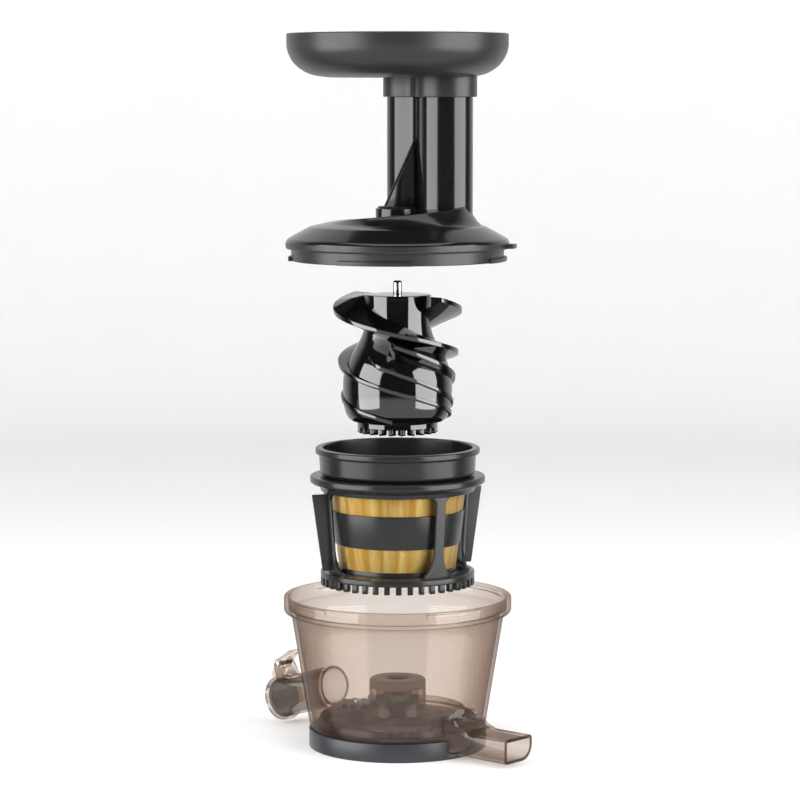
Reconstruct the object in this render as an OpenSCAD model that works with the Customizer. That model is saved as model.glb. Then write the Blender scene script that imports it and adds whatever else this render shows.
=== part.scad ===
// Cold press juicer, juicing set: bowl, strainer, wiping cage, auger, lid and hopper.
// Drawn as on the bench: each unit stands above the bowl by its own lift and slides
// straight down to its seat. +Z is up, +X is the pulp spout, -X is the juice spout,
// and the origin is the drive bore's mouth in the plane that the base stands on.

/* [Base and bowl] */
// Outer radius of the grey base ring
base_r = 58.5; // [56:0.5:62]
// Height of the base ring
base_h = 12; // [11:0.5:14]
// Wall of the base ring
base_wall = 3; // [2.4:0.2:3.6]
// Outer radius of the bowl wall where it leaves the base ring
bowl_foot_r = 58; // [57.5:0.5:60]
// Height of the bowl rim above the standing plane
bowl_top = 100; // [98:1:104]
// Wall of the bowl
bowl_wall = 2.4; // [2:0.1:3]
// Outer radius of the rim band
rim_r = 75; // [74:0.5:78]
// Height of the rim band
rim_h = 11; // [9:0.5:12]
// Radius of the hole for the drive shaft
drive_bore_r = 7.2; // [6.6:0.1:7.6]
// Outer radius of the centre boss
boss_r = 18.6; // [18:0.1:18.8]
// Height of the centre boss with its seal
boss_top = 44.5; // [42:0.5:45]
// Band of seal that shows on the boss
seal_h = 6; // [5:0.5:8]

/* [Spouts] */
// Reach of the pulp spout from the axis
pulp_reach = 104; // [98:1:110]
// Outer width of the pulp spout
pulp_w = 27; // [24:1:29]
// Outer height of the pulp spout
pulp_h = 16; // [15:0.5:17]
// Height of the pulp spout's underside
pulp_z = 3.5; // [3:0.5:4]
// Wall of both spouts
spout_wall = 2; // [1.6:0.1:2.2]
// Outer radius of the juice spout
juice_r = 13.5; // [12.5:0.5:14]
// Height of the juice spout's axis at the bowl wall
juice_z = 31; // [30:0.5:33]
// Length of the juice spout from the bowl wall
juice_len = 48; // [44:1:50]
// Fall of the juice spout, degrees
juice_fall = 17; // [14:1:18]

/* [Gears] */
// Gear module
gear_m = 2.26; // [2.24:0.01:2.27]
// Teeth under the auger
sun_n = 22; // [22:1:22]
// Teeth of the idler
idler_n = 10; // [10:1:10]
// Teeth under the brush cage
ring_n = 42; // [42:1:42]
// Play between meshing flanks, at the pitch circle
backlash = 0.7; // [0.6:0.05:0.9]
// Height of the auger's hanging teeth
sun_tooth_h = 3.6; // [3.2:0.1:4]
// Height of the brush cage's hanging teeth
ring_tooth_h = 5; // [4.6:0.1:5.4]

/* [Strainer and brush cage] */
// Height at which auger and strainer teeth run
seat_z = 20; // [20:0.5:21]
// Height of the strainer above the teeth's lower ends
strainer_h = 90.4; // [88:0.5:91]
// Outer radius of the strainer's rim
strainer_rim_r = 54; // [53:0.5:55]
// Outer radius of the mesh at its lower end
mesh_low_r = 38.5; // [38.3:0.1:39]
// Outer radius of the mesh at its upper end
mesh_high_r = 45; // [44.8:0.1:45.3]
// Thickness of the mesh
mesh_t = 0.6; // [0.4:0.1:0.8]
// Lower edge of the black band between the meshes
band_low = 27.6; // [26:0.2:30]
// Upper edge of the black band between the meshes
band_high = 49.7; // [47:0.1:51]
// Outer radius of the toothed ring under the cage
cage_foot_r = 50.7; // [50.4:0.1:51]
// Outer radius of the cage's top flange
cage_flange_r = 57.5; // [56.5:0.5:58.5]
// Width of a cage post
post_w = 7; // [6:0.5:8]
// Reach of the outer wiper blade at its top
wiper_r = 60; // [58.5:0.5:61]

/* [Auger] */
// Height of the auger body above its teeth's lower ends
auger_h = 90.4; // [88:0.5:91]
// Outer radius of the flights at the top
flight_top_r = 42.6; // [41.5:0.1:43]
// Depth of a flight where it leaves the barrel
flight_t = 3; // [2.4:0.2:3.6]
// Radius of the toothed ring under the barrel
sun_ring_r = 26.3; // [26.1:0.1:26.4]
// Radius of the steel pin
pin_r = 3; // [2.6:0.1:3.2]
// Length of pin that stands above the auger
pin_out = 9.1; // [8:0.1:10]

/* [Lid and hopper] */
// Height of the lid's flat top
lid_top = 118.5; // [117.5:0.5:120]
// Wall of the lid
lid_wall = 2.5; // [2:0.1:2.7]
// Radius of the lid's centre boss
hub_r = 14.3; // [13.5:0.1:15]
// Radius of the circle on which the feed chute is curved
chute_mid_r = 31.5; // [31:0.1:32]
// Outer half width of the feed chute
chute_half_w = 17.5; // [17:0.1:17.8]
// Wall of the chute
chute_wall = 2.3; // [2:0.1:2.6]
// Angle that the chute's centre line spans
chute_span = 75; // [70:1:80]
// Height of the chute's open top
chute_top = 208; // [200:1:214]
// Depth of the hopper tray
tray_h = 28.4; // [26:0.2:32]
// Wall of the hopper tray
tray_wall = 2.4; // [2:0.1:3]
// Height of the collar that fits over the chute
collar_h = 12.5; // [11:0.5:14]

/* [Lifts] */
// Lift of the strainer and brush cage above their seat
strainer_lift = 87.9; // [80:0.1:95]
// Further lift of the auger above the strainer
auger_lift = 100.1; // [95:0.1:110]
// Further lift of the lid above the auger
lid_lift = 40; // [36:0.5:46]

/* [Fits] */
// Running clearance on a pin, radial
run_fit = 0.05; // [0.03:0.01:0.08]
// Gap between parts that turn past each other
turn_gap = 0.3; // [0.25:0.05:0.4]

/* [Hidden] */
$fn = 96;
eps = 0.02;

// Directions, degrees from +X, seen from above
juice_side = 180;
post_angles = [-116, -13, 64, 167];
chute_a = 75 - chute_span / 2;
lug_angles = [29.5, 119.5, 209.5, 299.5];
lug_span = 40;
tab_span = 34;
tab_angles = [for (a = lug_angles) a + 45];
screw_angles = [50, 130, 230, 310];

// The lid's flange lies just inside the bowl's rim, and the tray and the skirt follow the lid
lid_r = rim_r - 2;
tray_r = lid_r - 1;
skirt_r = lid_r - 3.5;

// Bowl levels and radii
rim_step = 4.68;
bowl_lean = (rim_r - rim_step - bowl_foot_r) / (bowl_top - rim_h - base_h);
platform_top = seat_z - 0.6;
platform_r = cage_foot_r + 2 * turn_gap;
floor_top = base_h + bowl_wall;
platform_plate = 2.4;
ridge_r = 44.5;
ridge_wall = 3;
ridge_top = seat_z + 4.5;
seal_wall = 2;
boss_wall = 2.5;
sleeve_wall = 2.4;
ledge_z = bowl_top - 8.5;
lug_r = skirt_r + 1.9;
groove_r = lug_r + 0.6;
tab_r = skirt_r + 0.7;
recess_a = -63.6;
recess_span = 46.5;
recess_d = 0.6;
recess_h = 5;
screw_ring_r = 40;
screw_r = 1.5;
screw_head_r = 3.2;
screw_boss_r = 4.2;
screw_h = 7.4;
screw_head_h = 2.2;
screw_pilot_h = 5.4;
web_t = 3;
key_low = 2.5;
key_high = 5.5;
key_depth = 3.5;
key_span = 28;

// Gear radii: all three share the module, so the ring takes sun + 2 idlers
sun_pitch_r = gear_m * sun_n / 2;
idler_pitch_r = gear_m * idler_n / 2;
ring_pitch_r = gear_m * ring_n / 2;
idler_x = -(sun_pitch_r + idler_pitch_r);
addendum = sun_ring_r - sun_pitch_r;
flank_slope = tan(22);
idler_tip_r = idler_pitch_r + addendum;
idler_root_r = idler_pitch_r - addendum - 0.3;
idler_top = seat_z + sun_tooth_h - turn_gap;
axle_top = seat_z + 4.3;
axle_foot = base_h + 1.5;
axle_r = 2.5;
ring_tip_r = ring_pitch_r - addendum;
ring_inner_r = ridge_r + 2 * turn_gap;
sun_inner_r = 21.5;

// Strainer and cage levels, above the teeth's lower ends
plate_low = 4.5;
plate_high = 6.8;
mesh_low = 12.5;
mesh_high = 66;
flange_low = 67;
flange_high = 72;
collar_low = flange_high + turn_gap;
collar_r = 51.5;
rim_low = strainer_h - 4;
frame_wall = 2.4;
rib_t = 1.2;
rib_w = 3;
rib_count = 8;
band_out = 1.2;
mesh_lean = (mesh_high_r - mesh_low_r) / (mesh_high - mesh_low);
function mesh_r(z) = mesh_low_r + mesh_lean * (z - mesh_low);
cage_ring_low = ring_tooth_h;
cage_ring_high = 9;
cage_low_r = 46.3;
cage_high_r = 50;
cage_wall = 2.6;
cage_top_low = 62;
function cage_r(z) = cage_low_r + (cage_high_r - cage_low_r) * (z - cage_ring_high) / (cage_top_low - cage_ring_high);

// Auger levels, above the teeth's lower ends
sun_ring_low = sun_tooth_h;
barrel_low = 8;
hollow_r = boss_r + 0.8;
hollow_top = boss_top + 1.2 - seat_z;
socket_r = 11;
socket_h = 18;
socket_flats = 12.6;
pin_depth = 22;

// Lid levels
flange_top = bowl_top + 4.6;
bush_r = 5.5;
bush_low = 111.5;
bush_h = 10;
hub_top = lid_top + 9.5;
lid_gap = 0.3;
boot_low = chute_top - 9.5;
tray_floor = boot_low + collar_h;

// ---------- helpers ----------

// Upright ring between two radii and two heights
module ring(r_out, r_in, z0, z1) {
    translate([0, 0, z0])
        difference() {
            cylinder(r = r_out, h = z1 - z0);
            translate([0, 0, -1])
                cylinder(r = r_in, h = z1 - z0 + 2);
        }
}

// Sector of a ring, from angle a over span degrees
module sector(r_out, r_in, z0, z1, a, span) {
    rotate([0, 0, a])
        rotate_extrude(angle = span)
            translate([r_in, z0])
                square([r_out - r_in, z1 - z0]);
}

// Points on an arc in a plane
function arc(cx, cy, r, a0, a1, n) = [
    for (i = [0 : n]) let (a = a0 + (a1 - a0) * i / n) [cx + r * cos(a), cy + r * sin(a)]
];

// Value of a curve given as [x, y] pairs with x rising
function curve_at(pts, x, i = 0) =
    x <= pts[0][0] ? pts[0][1] :
    i >= len(pts) - 1 ? pts[len(pts) - 1][1] :
    x <= pts[i + 1][0]
        ? pts[i][1] + (pts[i + 1][1] - pts[i][1]) * (x - pts[i][0]) / (pts[i + 1][0] - pts[i][0])
        : curve_at(pts, x, i + 1);

// Gear tooth that points outwards along +X from its pitch circle
module tooth_2d(pitch_r, r_in, r_out) {
    half = (PI * gear_m / 2 - backlash) / 2;
    polygon([
        [r_in, -(half + (pitch_r - r_in) * flank_slope)],
        [r_out, -(half - (r_out - pitch_r) * flank_slope)],
        [r_out, half - (r_out - pitch_r) * flank_slope],
        [r_in, half + (pitch_r - r_in) * flank_slope]
    ]);
}

// Ring gear tooth that points inwards, with straight sides in the ring itself
module ring_tooth_2d() {
    half = (PI * gear_m / 2 - backlash) / 2;
    tip = half - addendum * flank_slope;
    root = half + addendum * flank_slope;
    polygon([
        [ring_tip_r, -tip],
        [ring_pitch_r + addendum, -root],
        [cage_foot_r + 1, -root],
        [cage_foot_r + 1, root],
        [ring_pitch_r + addendum, root],
        [ring_tip_r, tip]
    ]);
}

// ---------- base and bowl ----------

module screw_places() {
    for (a = screw_angles)
        rotate([0, 0, a])
            translate([screw_ring_r, 0, 0])
                children();
}

// Outside of the pulp spout, grown by g, from x0 to x1
module pulp_duct(x0, x1, g) {
    low = pulp_z - g;
    high = pulp_z + pulp_h + g;
    half = pulp_w / 2 + g;
    big = 10 + g;
    small = 2.5 + g;
    outline = concat(
        arc(-half + small, low + small, small, 180, 270, 5),
        arc(half - big, low + big, big, 270, 360, 8),
        arc(half - small, high - small, small, 0, 90, 5),
        arc(-half + small, high - small, small, 90, 180, 5)
    );
    translate([x0, 0, 0])
        rotate([90, 0, 90])
            linear_extrude(x1 - x0)
                polygon(outline);
}

// Roof that falls from the bowl wall to the top of the pulp spout, thinned by t
module pulp_hump(t) {
    top = 29.5 - t;
    foot = pulp_z + pulp_h - t;
    x0 = platform_r + 0.5 + t;
    outline = concat(
        [[x0, platform_top - 4]],
        arc(x0 + 2, top - 2, 2, 180, 60, 5),
        [for (i = [0 : 8]) let (s = i / 8) [x0 + 4 + 17 * s, foot + (top - foot - 0.8) * (1 - s * s * (3 - 2 * s))]],
        [[x0 + 21, foot - 4]]
    );
    rotate([90, 0, 0])
        linear_extrude(pulp_w - 2 * t, center = true)
            polygon(outline);
}

module juice_frame() {
    rotate([0, 0, juice_side])
        translate([bowl_foot_r, 0, juice_z])
            rotate([0, juice_fall, 0])
                children();
}

module along_spout(r, u0, u1) {
    translate([u0, 0, 0])
        rotate([0, 90, 0])
            cylinder(r = r, h = u1 - u0);
}

cap_hinge_u = juice_len - 6;
cap_hinge_w = juice_r + 9.5;
cap_pin_r = 1.5;
cap_knuckle_r = 3.6;
cap_knuckle_w = 8;
ear_t = 2.6;
cap_gap = 0.1;
cap_seal_t = 1.2;
cap_plate_t = 2.6;
cap_r = juice_r + 1.7;
hinge_cut = 5 * cap_knuckle_w;

module bowl_base() {
    color("#43474b")
        difference() {
            union() {
                ring(base_r, base_r - base_wall, 0, base_h);
                ring(base_r - 0.5, boss_r + 4, base_h - web_t, base_h);
                for (a = [60, 180, 300])
                    sector(base_r - base_wall + 0.5, base_r - base_wall - key_depth, key_low, key_high, a - key_span / 2, key_span);
            }
            pulp_duct(boss_r + 3, base_r + 5, 0.15);
            screw_places() translate([0, 0, -1]) cylinder(r = screw_r + 0.2, h = base_h + 2, $fn = 32);
        }
}

module base_screws() {
    color("#b9bcc0")
        screw_places() {
            translate([0, 0, base_h - web_t - screw_head_h])
                difference() {
                    cylinder(r = screw_head_r, h = screw_head_h, $fn = 32);
                    for (a = [0, 90])
                        rotate([0, 0, a])
                            translate([-2, -0.4, -1])
                                cube([4, 0.8, 2.2]);
                }
            translate([0, 0, base_h - web_t - eps])
                cylinder(r = screw_r, h = screw_h, $fn = 32);
        }
}

// Section of the solid that the bowl's outside encloses
module bowl_outside() {
    wall_top = bowl_foot_r + bowl_lean * (bowl_top - rim_h - base_h);
    rotate_extrude($fn = 180)
        polygon(concat(
            [[0, base_h], [bowl_foot_r - 1, base_h], [bowl_foot_r, base_h + 1], [wall_top, bowl_top - rim_h]],
            arc(rim_r - 2.5, bowl_top - rim_h + 2.5, 2.5, -60, 0, 3),
            arc(rim_r - 1.2, bowl_top - 1.2, 1.2, 0, 90, 3),
            [[0, bowl_top]]
        ));
}

// Section of the space inside the bowl
module bowl_inside() {
    low_r = bowl_foot_r - bowl_wall;
    high_r = low_r + bowl_lean * (ledge_z - base_h);
    rotate_extrude($fn = 180)
        polygon([
            [0, platform_top], [platform_r, platform_top], [platform_r + 0.5, floor_top],
            [low_r - 1, floor_top], [low_r + 0.4, floor_top + 1.5], [high_r, ledge_z],
            [groove_r, ledge_z], [groove_r, bowl_top + 1], [0, bowl_top + 1]
        ]);
}

// Space under the platform, open towards the base ring
module platform_hollow() {
    ring(platform_r - 2, boss_r - boss_wall, base_h - 1, platform_top - platform_plate);
}

module bowl_boss() {
    shell_top = boss_top - seal_wall;
    difference() {
        union() {
            cylinder(r = boss_r, h = boss_top - seal_h);
            cylinder(r = boss_r - seal_wall, h = shell_top);
            translate([0, 0, platform_top - eps])
                cylinder(r1 = boss_r + 2, r2 = boss_r, h = 2.5);
        }
        translate([0, 0, -1])
            cylinder(r = boss_r - boss_wall - seal_wall, h = shell_top - boss_wall + 1);
        translate([0, 0, -1])
            ring(boss_r + 5, 0, 0, base_h + 1);
    }
    ring(drive_bore_r + sleeve_wall, drive_bore_r, 0, shell_top - 1);
}

module pulp_window() {
    sector(41, 28.5, pulp_z + pulp_h - spout_wall - 1, platform_top + 1, -20, 40);
}

module juicing_bowl() {
    color("#a8968a", 0.45)
        difference() {
            union() {
                difference() {
                    union() {
                        bowl_outside();
                        juice_frame() along_spout(juice_r, -10, juice_len);
                    }
                    bowl_inside();
                    platform_hollow();
                }
                bowl_boss();
                // ridge that carries the strainer, open where the idler meshes
                difference() {
                    ring(ridge_r, ridge_r - ridge_wall, platform_top - eps, ridge_top);
                    sector(ridge_r + 1, ridge_r - ridge_wall - 1, platform_top, ridge_top + 1, 180 - 21, 42);
                    pulp_window();
                }
                // bosses under the platform for the screws and the idler's axle
                screw_places()
                    translate([0, 0, base_h])
                        cylinder(r = screw_boss_r, h = platform_top - base_h - 1, $fn = 32);
                translate([idler_x, 0, base_h])
                    cylinder(r = axle_r + 2.5, h = platform_top - base_h, $fn = 48);
                for (a = tab_angles)
                    sector(groove_r + 0.5, tab_r, ledge_z + 4.4, ledge_z + 6.8, a - tab_span / 2, tab_span);
                // pulp spout and its roof
                pulp_duct(boss_r + 6, pulp_reach, 0);
                pulp_hump(0);
                // ears for the cap's hinge pin
                juice_frame()
                    for (s = [-1, 1])
                        translate([0, s * (cap_knuckle_w / 2 + turn_gap + ear_t / 2), 0])
                            rotate([90, 0, 0])
                                linear_extrude(ear_t, center = true)
                                    polygon(concat(
                                        [[cap_hinge_u + 3.4, juice_r - 3]],
                                        arc(cap_hinge_u, cap_hinge_w, 3.4, 0, 180, 10),
                                        [[cap_hinge_u - 7, juice_r - 3]]
                                    ));
            }
            // centre bore, clear through the sleeve and the boss
            translate([0, 0, -1])
                cylinder(r = drive_bore_r, h = boss_top + 2);
            // pulp way: window in the platform, then the duct
            pulp_duct(boss_r + 6 + spout_wall, pulp_reach + 1, -spout_wall);
            pulp_hump(spout_wall);
            pulp_window();
            juice_frame() along_spout(juice_r - spout_wall, -16, juice_len + 1);
            juice_frame()
                translate([cap_hinge_u, 0, cap_hinge_w])
                    rotate([90, 0, 0])
                        cylinder(r = cap_pin_r, h = hinge_cut, center = true, $fn = 32);
            // shallow recess in the front of the rim band
            sector(rim_r + 1, rim_r - recess_d, bowl_top - recess_h, bowl_top + 1, recess_a, recess_span);
            screw_places() translate([0, 0, base_h - 1]) cylinder(r = screw_r, h = screw_pilot_h, $fn = 32);
            translate([idler_x, 0, axle_foot]) cylinder(r = axle_r, h = 20, $fn = 48);
        }
}

module drive_seal() {
    color("#6b5a50") {
        ring(boss_r, boss_r - seal_wall, boss_top - seal_h, boss_top - 1);
        ring(boss_r - 1, drive_bore_r + 0.5, boss_top - seal_wall, boss_top);
    }
}

module idler_axle() {
    color("#c9ccd0")
        translate([idler_x, 0, axle_foot])
            cylinder(r = axle_r, h = axle_top - axle_foot, $fn = 48);
}

module idler_gear() {
    idler_low = platform_top + 0.2;
    color("#55504c")
        translate([idler_x, 0, idler_low])
            difference() {
                union() {
                    cylinder(r = idler_root_r, h = idler_top - idler_low);
                    for (i = [0 : idler_n - 1])
                        rotate([0, 0, i * 360 / idler_n])
                            linear_extrude(idler_top - idler_low)
                                tooth_2d(idler_pitch_r, idler_root_r - 1.5, idler_tip_r);
                }
                translate([0, 0, -1])
                    cylinder(r = axle_r + run_fit, h = 20, $fn = 48);
            }
}

module cap_hinge_pin() {
    color("#c9ccd0")
        juice_frame()
            translate([cap_hinge_u, 0, cap_hinge_w])
                rotate([90, 0, 0])
                    cylinder(r = cap_pin_r, h = cap_knuckle_w + 2 * (turn_gap + ear_t), center = true, $fn = 32);
}

module juice_cap() {
    seat_u = juice_len + cap_gap + cap_seal_t;
    color("#a8968a", 0.6)
        juice_frame()
            difference() {
                union() {
                    along_spout(cap_r, seat_u, seat_u + cap_plate_t);
                    difference() {
                        along_spout(cap_r, juice_len - 2, seat_u + 1);
                        along_spout(juice_r + 0.5, juice_len - 3, seat_u);
                    }
                    // arm from the plate up to the knuckle, with the thumb lever behind it
                    rotate([90, 0, 0])
                        linear_extrude(cap_knuckle_w, center = true)
                            polygon(concat(
                                [[seat_u + cap_plate_t, juice_r - 4], [seat_u + cap_plate_t, juice_r + 4]],
                                arc(cap_hinge_u + 1, cap_hinge_w, cap_knuckle_r, 30, 95, 6),
                                arc(cap_hinge_u - 11, cap_hinge_w + 5.5, 1.6, 80, 260, 6),
                                arc(cap_hinge_u, cap_hinge_w, cap_knuckle_r, 200, 300, 7),
                                [[seat_u, juice_r + 1.5], [seat_u, juice_r - 4]]
                            ));
                }
                translate([cap_hinge_u, 0, cap_hinge_w])
                    rotate([90, 0, 0])
                        cylinder(r = cap_pin_r + run_fit, h = hinge_cut, center = true, $fn = 32);
            }
}

module juice_cap_seal() {
    color("#4a3f39")
        juice_frame()
            along_spout(juice_r - 0.3, juice_len + cap_gap, juice_len + cap_gap + cap_seal_t);
}

// ---------- strainer and brush cage ----------

module strainer_place() {
    translate([0, 0, seat_z + strainer_lift])
        children();
}

// Conical shell that follows the mesh, off its outer face by two offsets
module mesh_shell(z0, z1, out, inn) {
    rotate_extrude($fn = 180)
        polygon([
            [mesh_r(z0) + inn, z0], [mesh_r(z0) + out, z0],
            [mesh_r(z1) + out, z1], [mesh_r(z1) + inn, z1]
        ]);
}

module strainer_frame() {
    inner = mesh_t + rib_t;
    color("#2b2b2c")
        strainer_place()
            difference() {
                union() {
                    // seat plate and lower ring
                    rotate_extrude($fn = 180)
                        polygon([
                            [sun_ring_r + 1, plate_low], [ridge_r, plate_low], [ridge_r, plate_low + 1.5],
                            [mesh_low_r + 0.6, plate_low + 4.5], [mesh_low_r + 0.6, mesh_low], [mesh_low_r - inner, mesh_low],
                            [mesh_low_r - inner, plate_high], [sun_ring_r + 1, plate_high]
                        ]);
                    mesh_shell(band_low, band_high, band_out, -inner);
                    // ribs that back the mesh and carry the collar
                    intersection() {
                        mesh_shell(mesh_low - 1, mesh_high, -mesh_t, 0.25 - inner);
                        for (i = [0 : rib_count - 1])
                            rotate([0, 0, i * 360 / rib_count])
                                translate([0, -rib_w / 2, mesh_low - 1])
                                    cube([strainer_rim_r, rib_w, mesh_high - mesh_low + 2]);
                    }
                }
                // pulp leaves through the seat plate
                sector(40, 30, plate_low - 1, plate_high + 1, -20, 40);
            }
}

// Shoulder, deep collar and rolled rim, welded to the ribs' upper ends
module strainer_collar() {
    color("#2b2b2c")
        strainer_place()
            rotate_extrude($fn = 180)
                polygon(concat(
                    [[mesh_high_r - mesh_t - rib_t, mesh_high], [mesh_high_r + 1.2, mesh_high],
                     [mesh_high_r + 1.8, flange_high], [collar_r, collar_low + 1.7],
                     [collar_r, rim_low - 0.6], [strainer_rim_r - 0.8, rim_low]],
                    arc(strainer_rim_r - 1, rim_low + 1.4, 1, -90, 0, 3),
                    arc(strainer_rim_r - 1, strainer_h - 1, 1, 0, 90, 3),
                    [[collar_r - frame_wall, strainer_h], [collar_r - frame_wall, collar_low + 3],
                     [mesh_high_r + 0.2, flange_high], [mesh_high_r - mesh_t - rib_t, mesh_high + 3]]
                ));
}

module strainer_mesh_upper() {
    color("#d9a441")
        strainer_place()
            mesh_shell(band_high, mesh_high, 0, -mesh_t);
}

module strainer_mesh_lower() {
    color("#d9a441")
        strainer_place()
            mesh_shell(mesh_low, band_low, 0, -mesh_t);
}

// Outline of a post seen from outside, flared at its foot and its head
post_flare = 8.5;
post_flare_h = 16;
function post_half(z) =
    let (
        foot = max(0, 1 - (z - cage_ring_high) / post_flare_h),
        head = max(0, 1 - (cage_top_low - z) / 5)
    ) post_w / 2 + post_flare * pow(foot, 2.2) + 4 * pow(head, 2.2);

module post_outline() {
    levels = [for (i = [0 : 16]) cage_ring_high - 1 + (cage_top_low - cage_ring_high + 2)
        * (i < 8 ? i * 0.045 : i < 9 ? 0.5 : 1 - (16 - i) * 0.018)];
    polygon(concat(
        [for (z = levels) [post_half(min(z, cage_top_low)), z]],
        [for (i = [len(levels) - 1 : -1 : 0]) [-post_half(min(levels[i], cage_top_low)), levels[i]]]
    ));
}

module cage_shell(out, inn) {
    z0 = cage_ring_high - 1;
    z1 = cage_top_low + 1;
    rotate_extrude($fn = 180)
        polygon([
            [cage_r(z0) + inn, z0], [cage_r(z0) + out, z0],
            [cage_r(z1) + out, z1], [cage_r(z1) + inn, z1]
        ]);
}

module brush_cage() {
    color("#2b2b2c")
        strainer_place()
            difference() {
                cage_body();
                outer_blades();
                inner_blades();
            }
}

module cage_body() {
    // toothed ring
    rotate_extrude($fn = 180)
        polygon([
            [ring_inner_r, cage_ring_low], [cage_foot_r - 0.6, cage_ring_low],
            [cage_foot_r, cage_ring_low + 0.6], [cage_foot_r, cage_ring_high - 1],
            [cage_foot_r - 1, cage_ring_high], [cage_low_r - cage_wall - 0.4, cage_ring_high + 1],
            [cage_low_r - cage_wall - 0.4, cage_ring_high - 2], [ring_inner_r, cage_ring_high - 2]
        ]);
    intersection() {
        ring(cage_foot_r, ring_tip_r, 0, cage_ring_low + eps);
        for (i = [0 : ring_n - 1])
            rotate([0, 0, 180 + (i + 0.5) * 360 / ring_n])
                linear_extrude(cage_ring_low + eps)
                    ring_tooth_2d();
    }
    intersection() {
        cage_shell(0, -cage_wall);
        for (a = post_angles)
            rotate([0, 0, a])
                rotate([90, 0, 90])
                    linear_extrude(60)
                        post_outline();
    }
    // top ring and flange
    rotate_extrude($fn = 180)
        polygon(concat(
            [[cage_high_r - cage_wall - 0.3, cage_top_low], [cage_high_r + 0.4, cage_top_low],
             [cage_high_r + 1.5, flange_low - 2]],
            arc(cage_flange_r - 1.2, flange_low + 1.2, 1.2, -60, 0, 3),
            arc(cage_flange_r - 1.5, flange_high - 1.5, 1.5, 0, 90, 3),
            [[cage_high_r - cage_wall - 0.3, flange_high]]
        ));
}

// Flat blade along a post, from the radii r0, r1 at its foot to r2, r3 at its head
module blade(z0, z1, r0, r1, r2, r3, t) {
    rotate([90, 0, 0])
        linear_extrude(t, center = true)
            polygon([[r0, z0], [r1, z0], [r3, z1], [r2, z1]]);
}

// The blades' roots stand in grooves in the posts
blade_t = 1.6;
groove_d = 1;
module outer_blades() {
    z0 = cage_ring_high + 2;
    z1 = cage_top_low - 0.5;
    for (i = [0, 2])
        rotate([0, 0, post_angles[i]])
            blade(z0, z1, cage_r(z0) - groove_d, wiper_r - 7.4, cage_r(z1) - groove_d, wiper_r, blade_t);
}

module inner_blades() {
    z0 = mesh_low + 1;
    z1 = cage_top_low - 1;
    reach = band_out + turn_gap + 0.2;
    root = groove_d - cage_wall;
    for (i = [1, 3])
        rotate([0, 0, post_angles[i]])
            blade(z0, z1, mesh_r(z0) + reach, cage_r(z0) + root, mesh_r(z1) + reach, cage_r(z1) + root, blade_t);
}

module outer_wiper_blades() {
    color("#3a3a3b")
        strainer_place()
            outer_blades();
}

module inner_wiper_blades() {
    color("#3a3a3b")
        strainer_place()
            inner_blades();
}

// ---------- auger ----------

module auger_place() {
    translate([0, 0, seat_z + strainer_lift + auger_lift])
        children();
}

// Barrel radius and flight tip radius over height, from the teeth's lower ends
barrel_curve = [
    [barrel_low, 30.5], [10, 32.5], [14, 34.4], [20, 35.4], [30, 35.8], [38, 35.2],
    [46, 32.6], [54, 28.4], [60, 25], [66, 22.6], [74, 21.4], [auger_h, 21.8]
];
tip_curve = [
    [barrel_low, 31.5], [11, 35], [16, 36.4], [26, 37.4], [42, 38.6], [54, 40.2],
    [70, 41.8], [auger_h, flight_top_r]
];

// Flights: start angle, start height, lead in mm a turn
flights = [[174, auger_h, 58], [-6, auger_h, 68], [-85.5, 53, 88], [-69, 66.5, 92]];
flight_end = barrel_low + 1.6;
// A deep flight flares towards its root, by these shares of its depth
flight_under = 0.45;
flight_over = 0.3;
flight_step = 10;

module flight(start, lead) {
    z0 = start[1] - flight_t / 2 - (start[1] >= auger_h ? 0 : 1);
    turn = (z0 - flight_end) / lead * 360;
    n = ceil(turn / flight_step);
    grow = start[1] >= auger_h ? 0 : 20;
    rows = [
        for (i = [0 : n])
            let (
                a = start[0] + turn * i / n,
                z = z0 - lead * turn / 360 * i / n,
                r0 = curve_at(barrel_curve, z) - 2.4,
                full = curve_at(tip_curve, z),
                s = grow == 0 ? 1 : min(1, turn * i / n / grow),
                r1 = r0 + 2.8 + (full - r0 - 2.8) * s,
                deep = max(0, r1 - r0 - 6),
                low = z - flight_t / 2 - flight_under * deep,
                high = min(auger_h, z + flight_t / 2 + flight_over * deep)
            )
            each [
                [r0 * cos(a), r0 * sin(a), low],
                [r1 * cos(a), r1 * sin(a), z - flight_t / 2 + 0.2],
                [r1 * cos(a), r1 * sin(a), z + flight_t / 2 - 0.2],
                [r0 * cos(a), r0 * sin(a), high]
            ]
    ];
    sides = [
        for (i = [0 : n - 1])
            for (j = [0 : 3])
                let (k = (j + 1) % 4)
                each [
                    [4 * i + j, 4 * i + k, 4 * i + 4 + k],
                    [4 * i + j, 4 * i + 4 + k, 4 * i + 4 + j]
                ]
    ];
    ends = [[3, 2, 1], [3, 1, 0], [4 * n, 4 * n + 1, 4 * n + 2], [4 * n, 4 * n + 2, 4 * n + 3]];
    polyhedron(rows, concat(sides, ends), convexity = 8);
}

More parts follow.
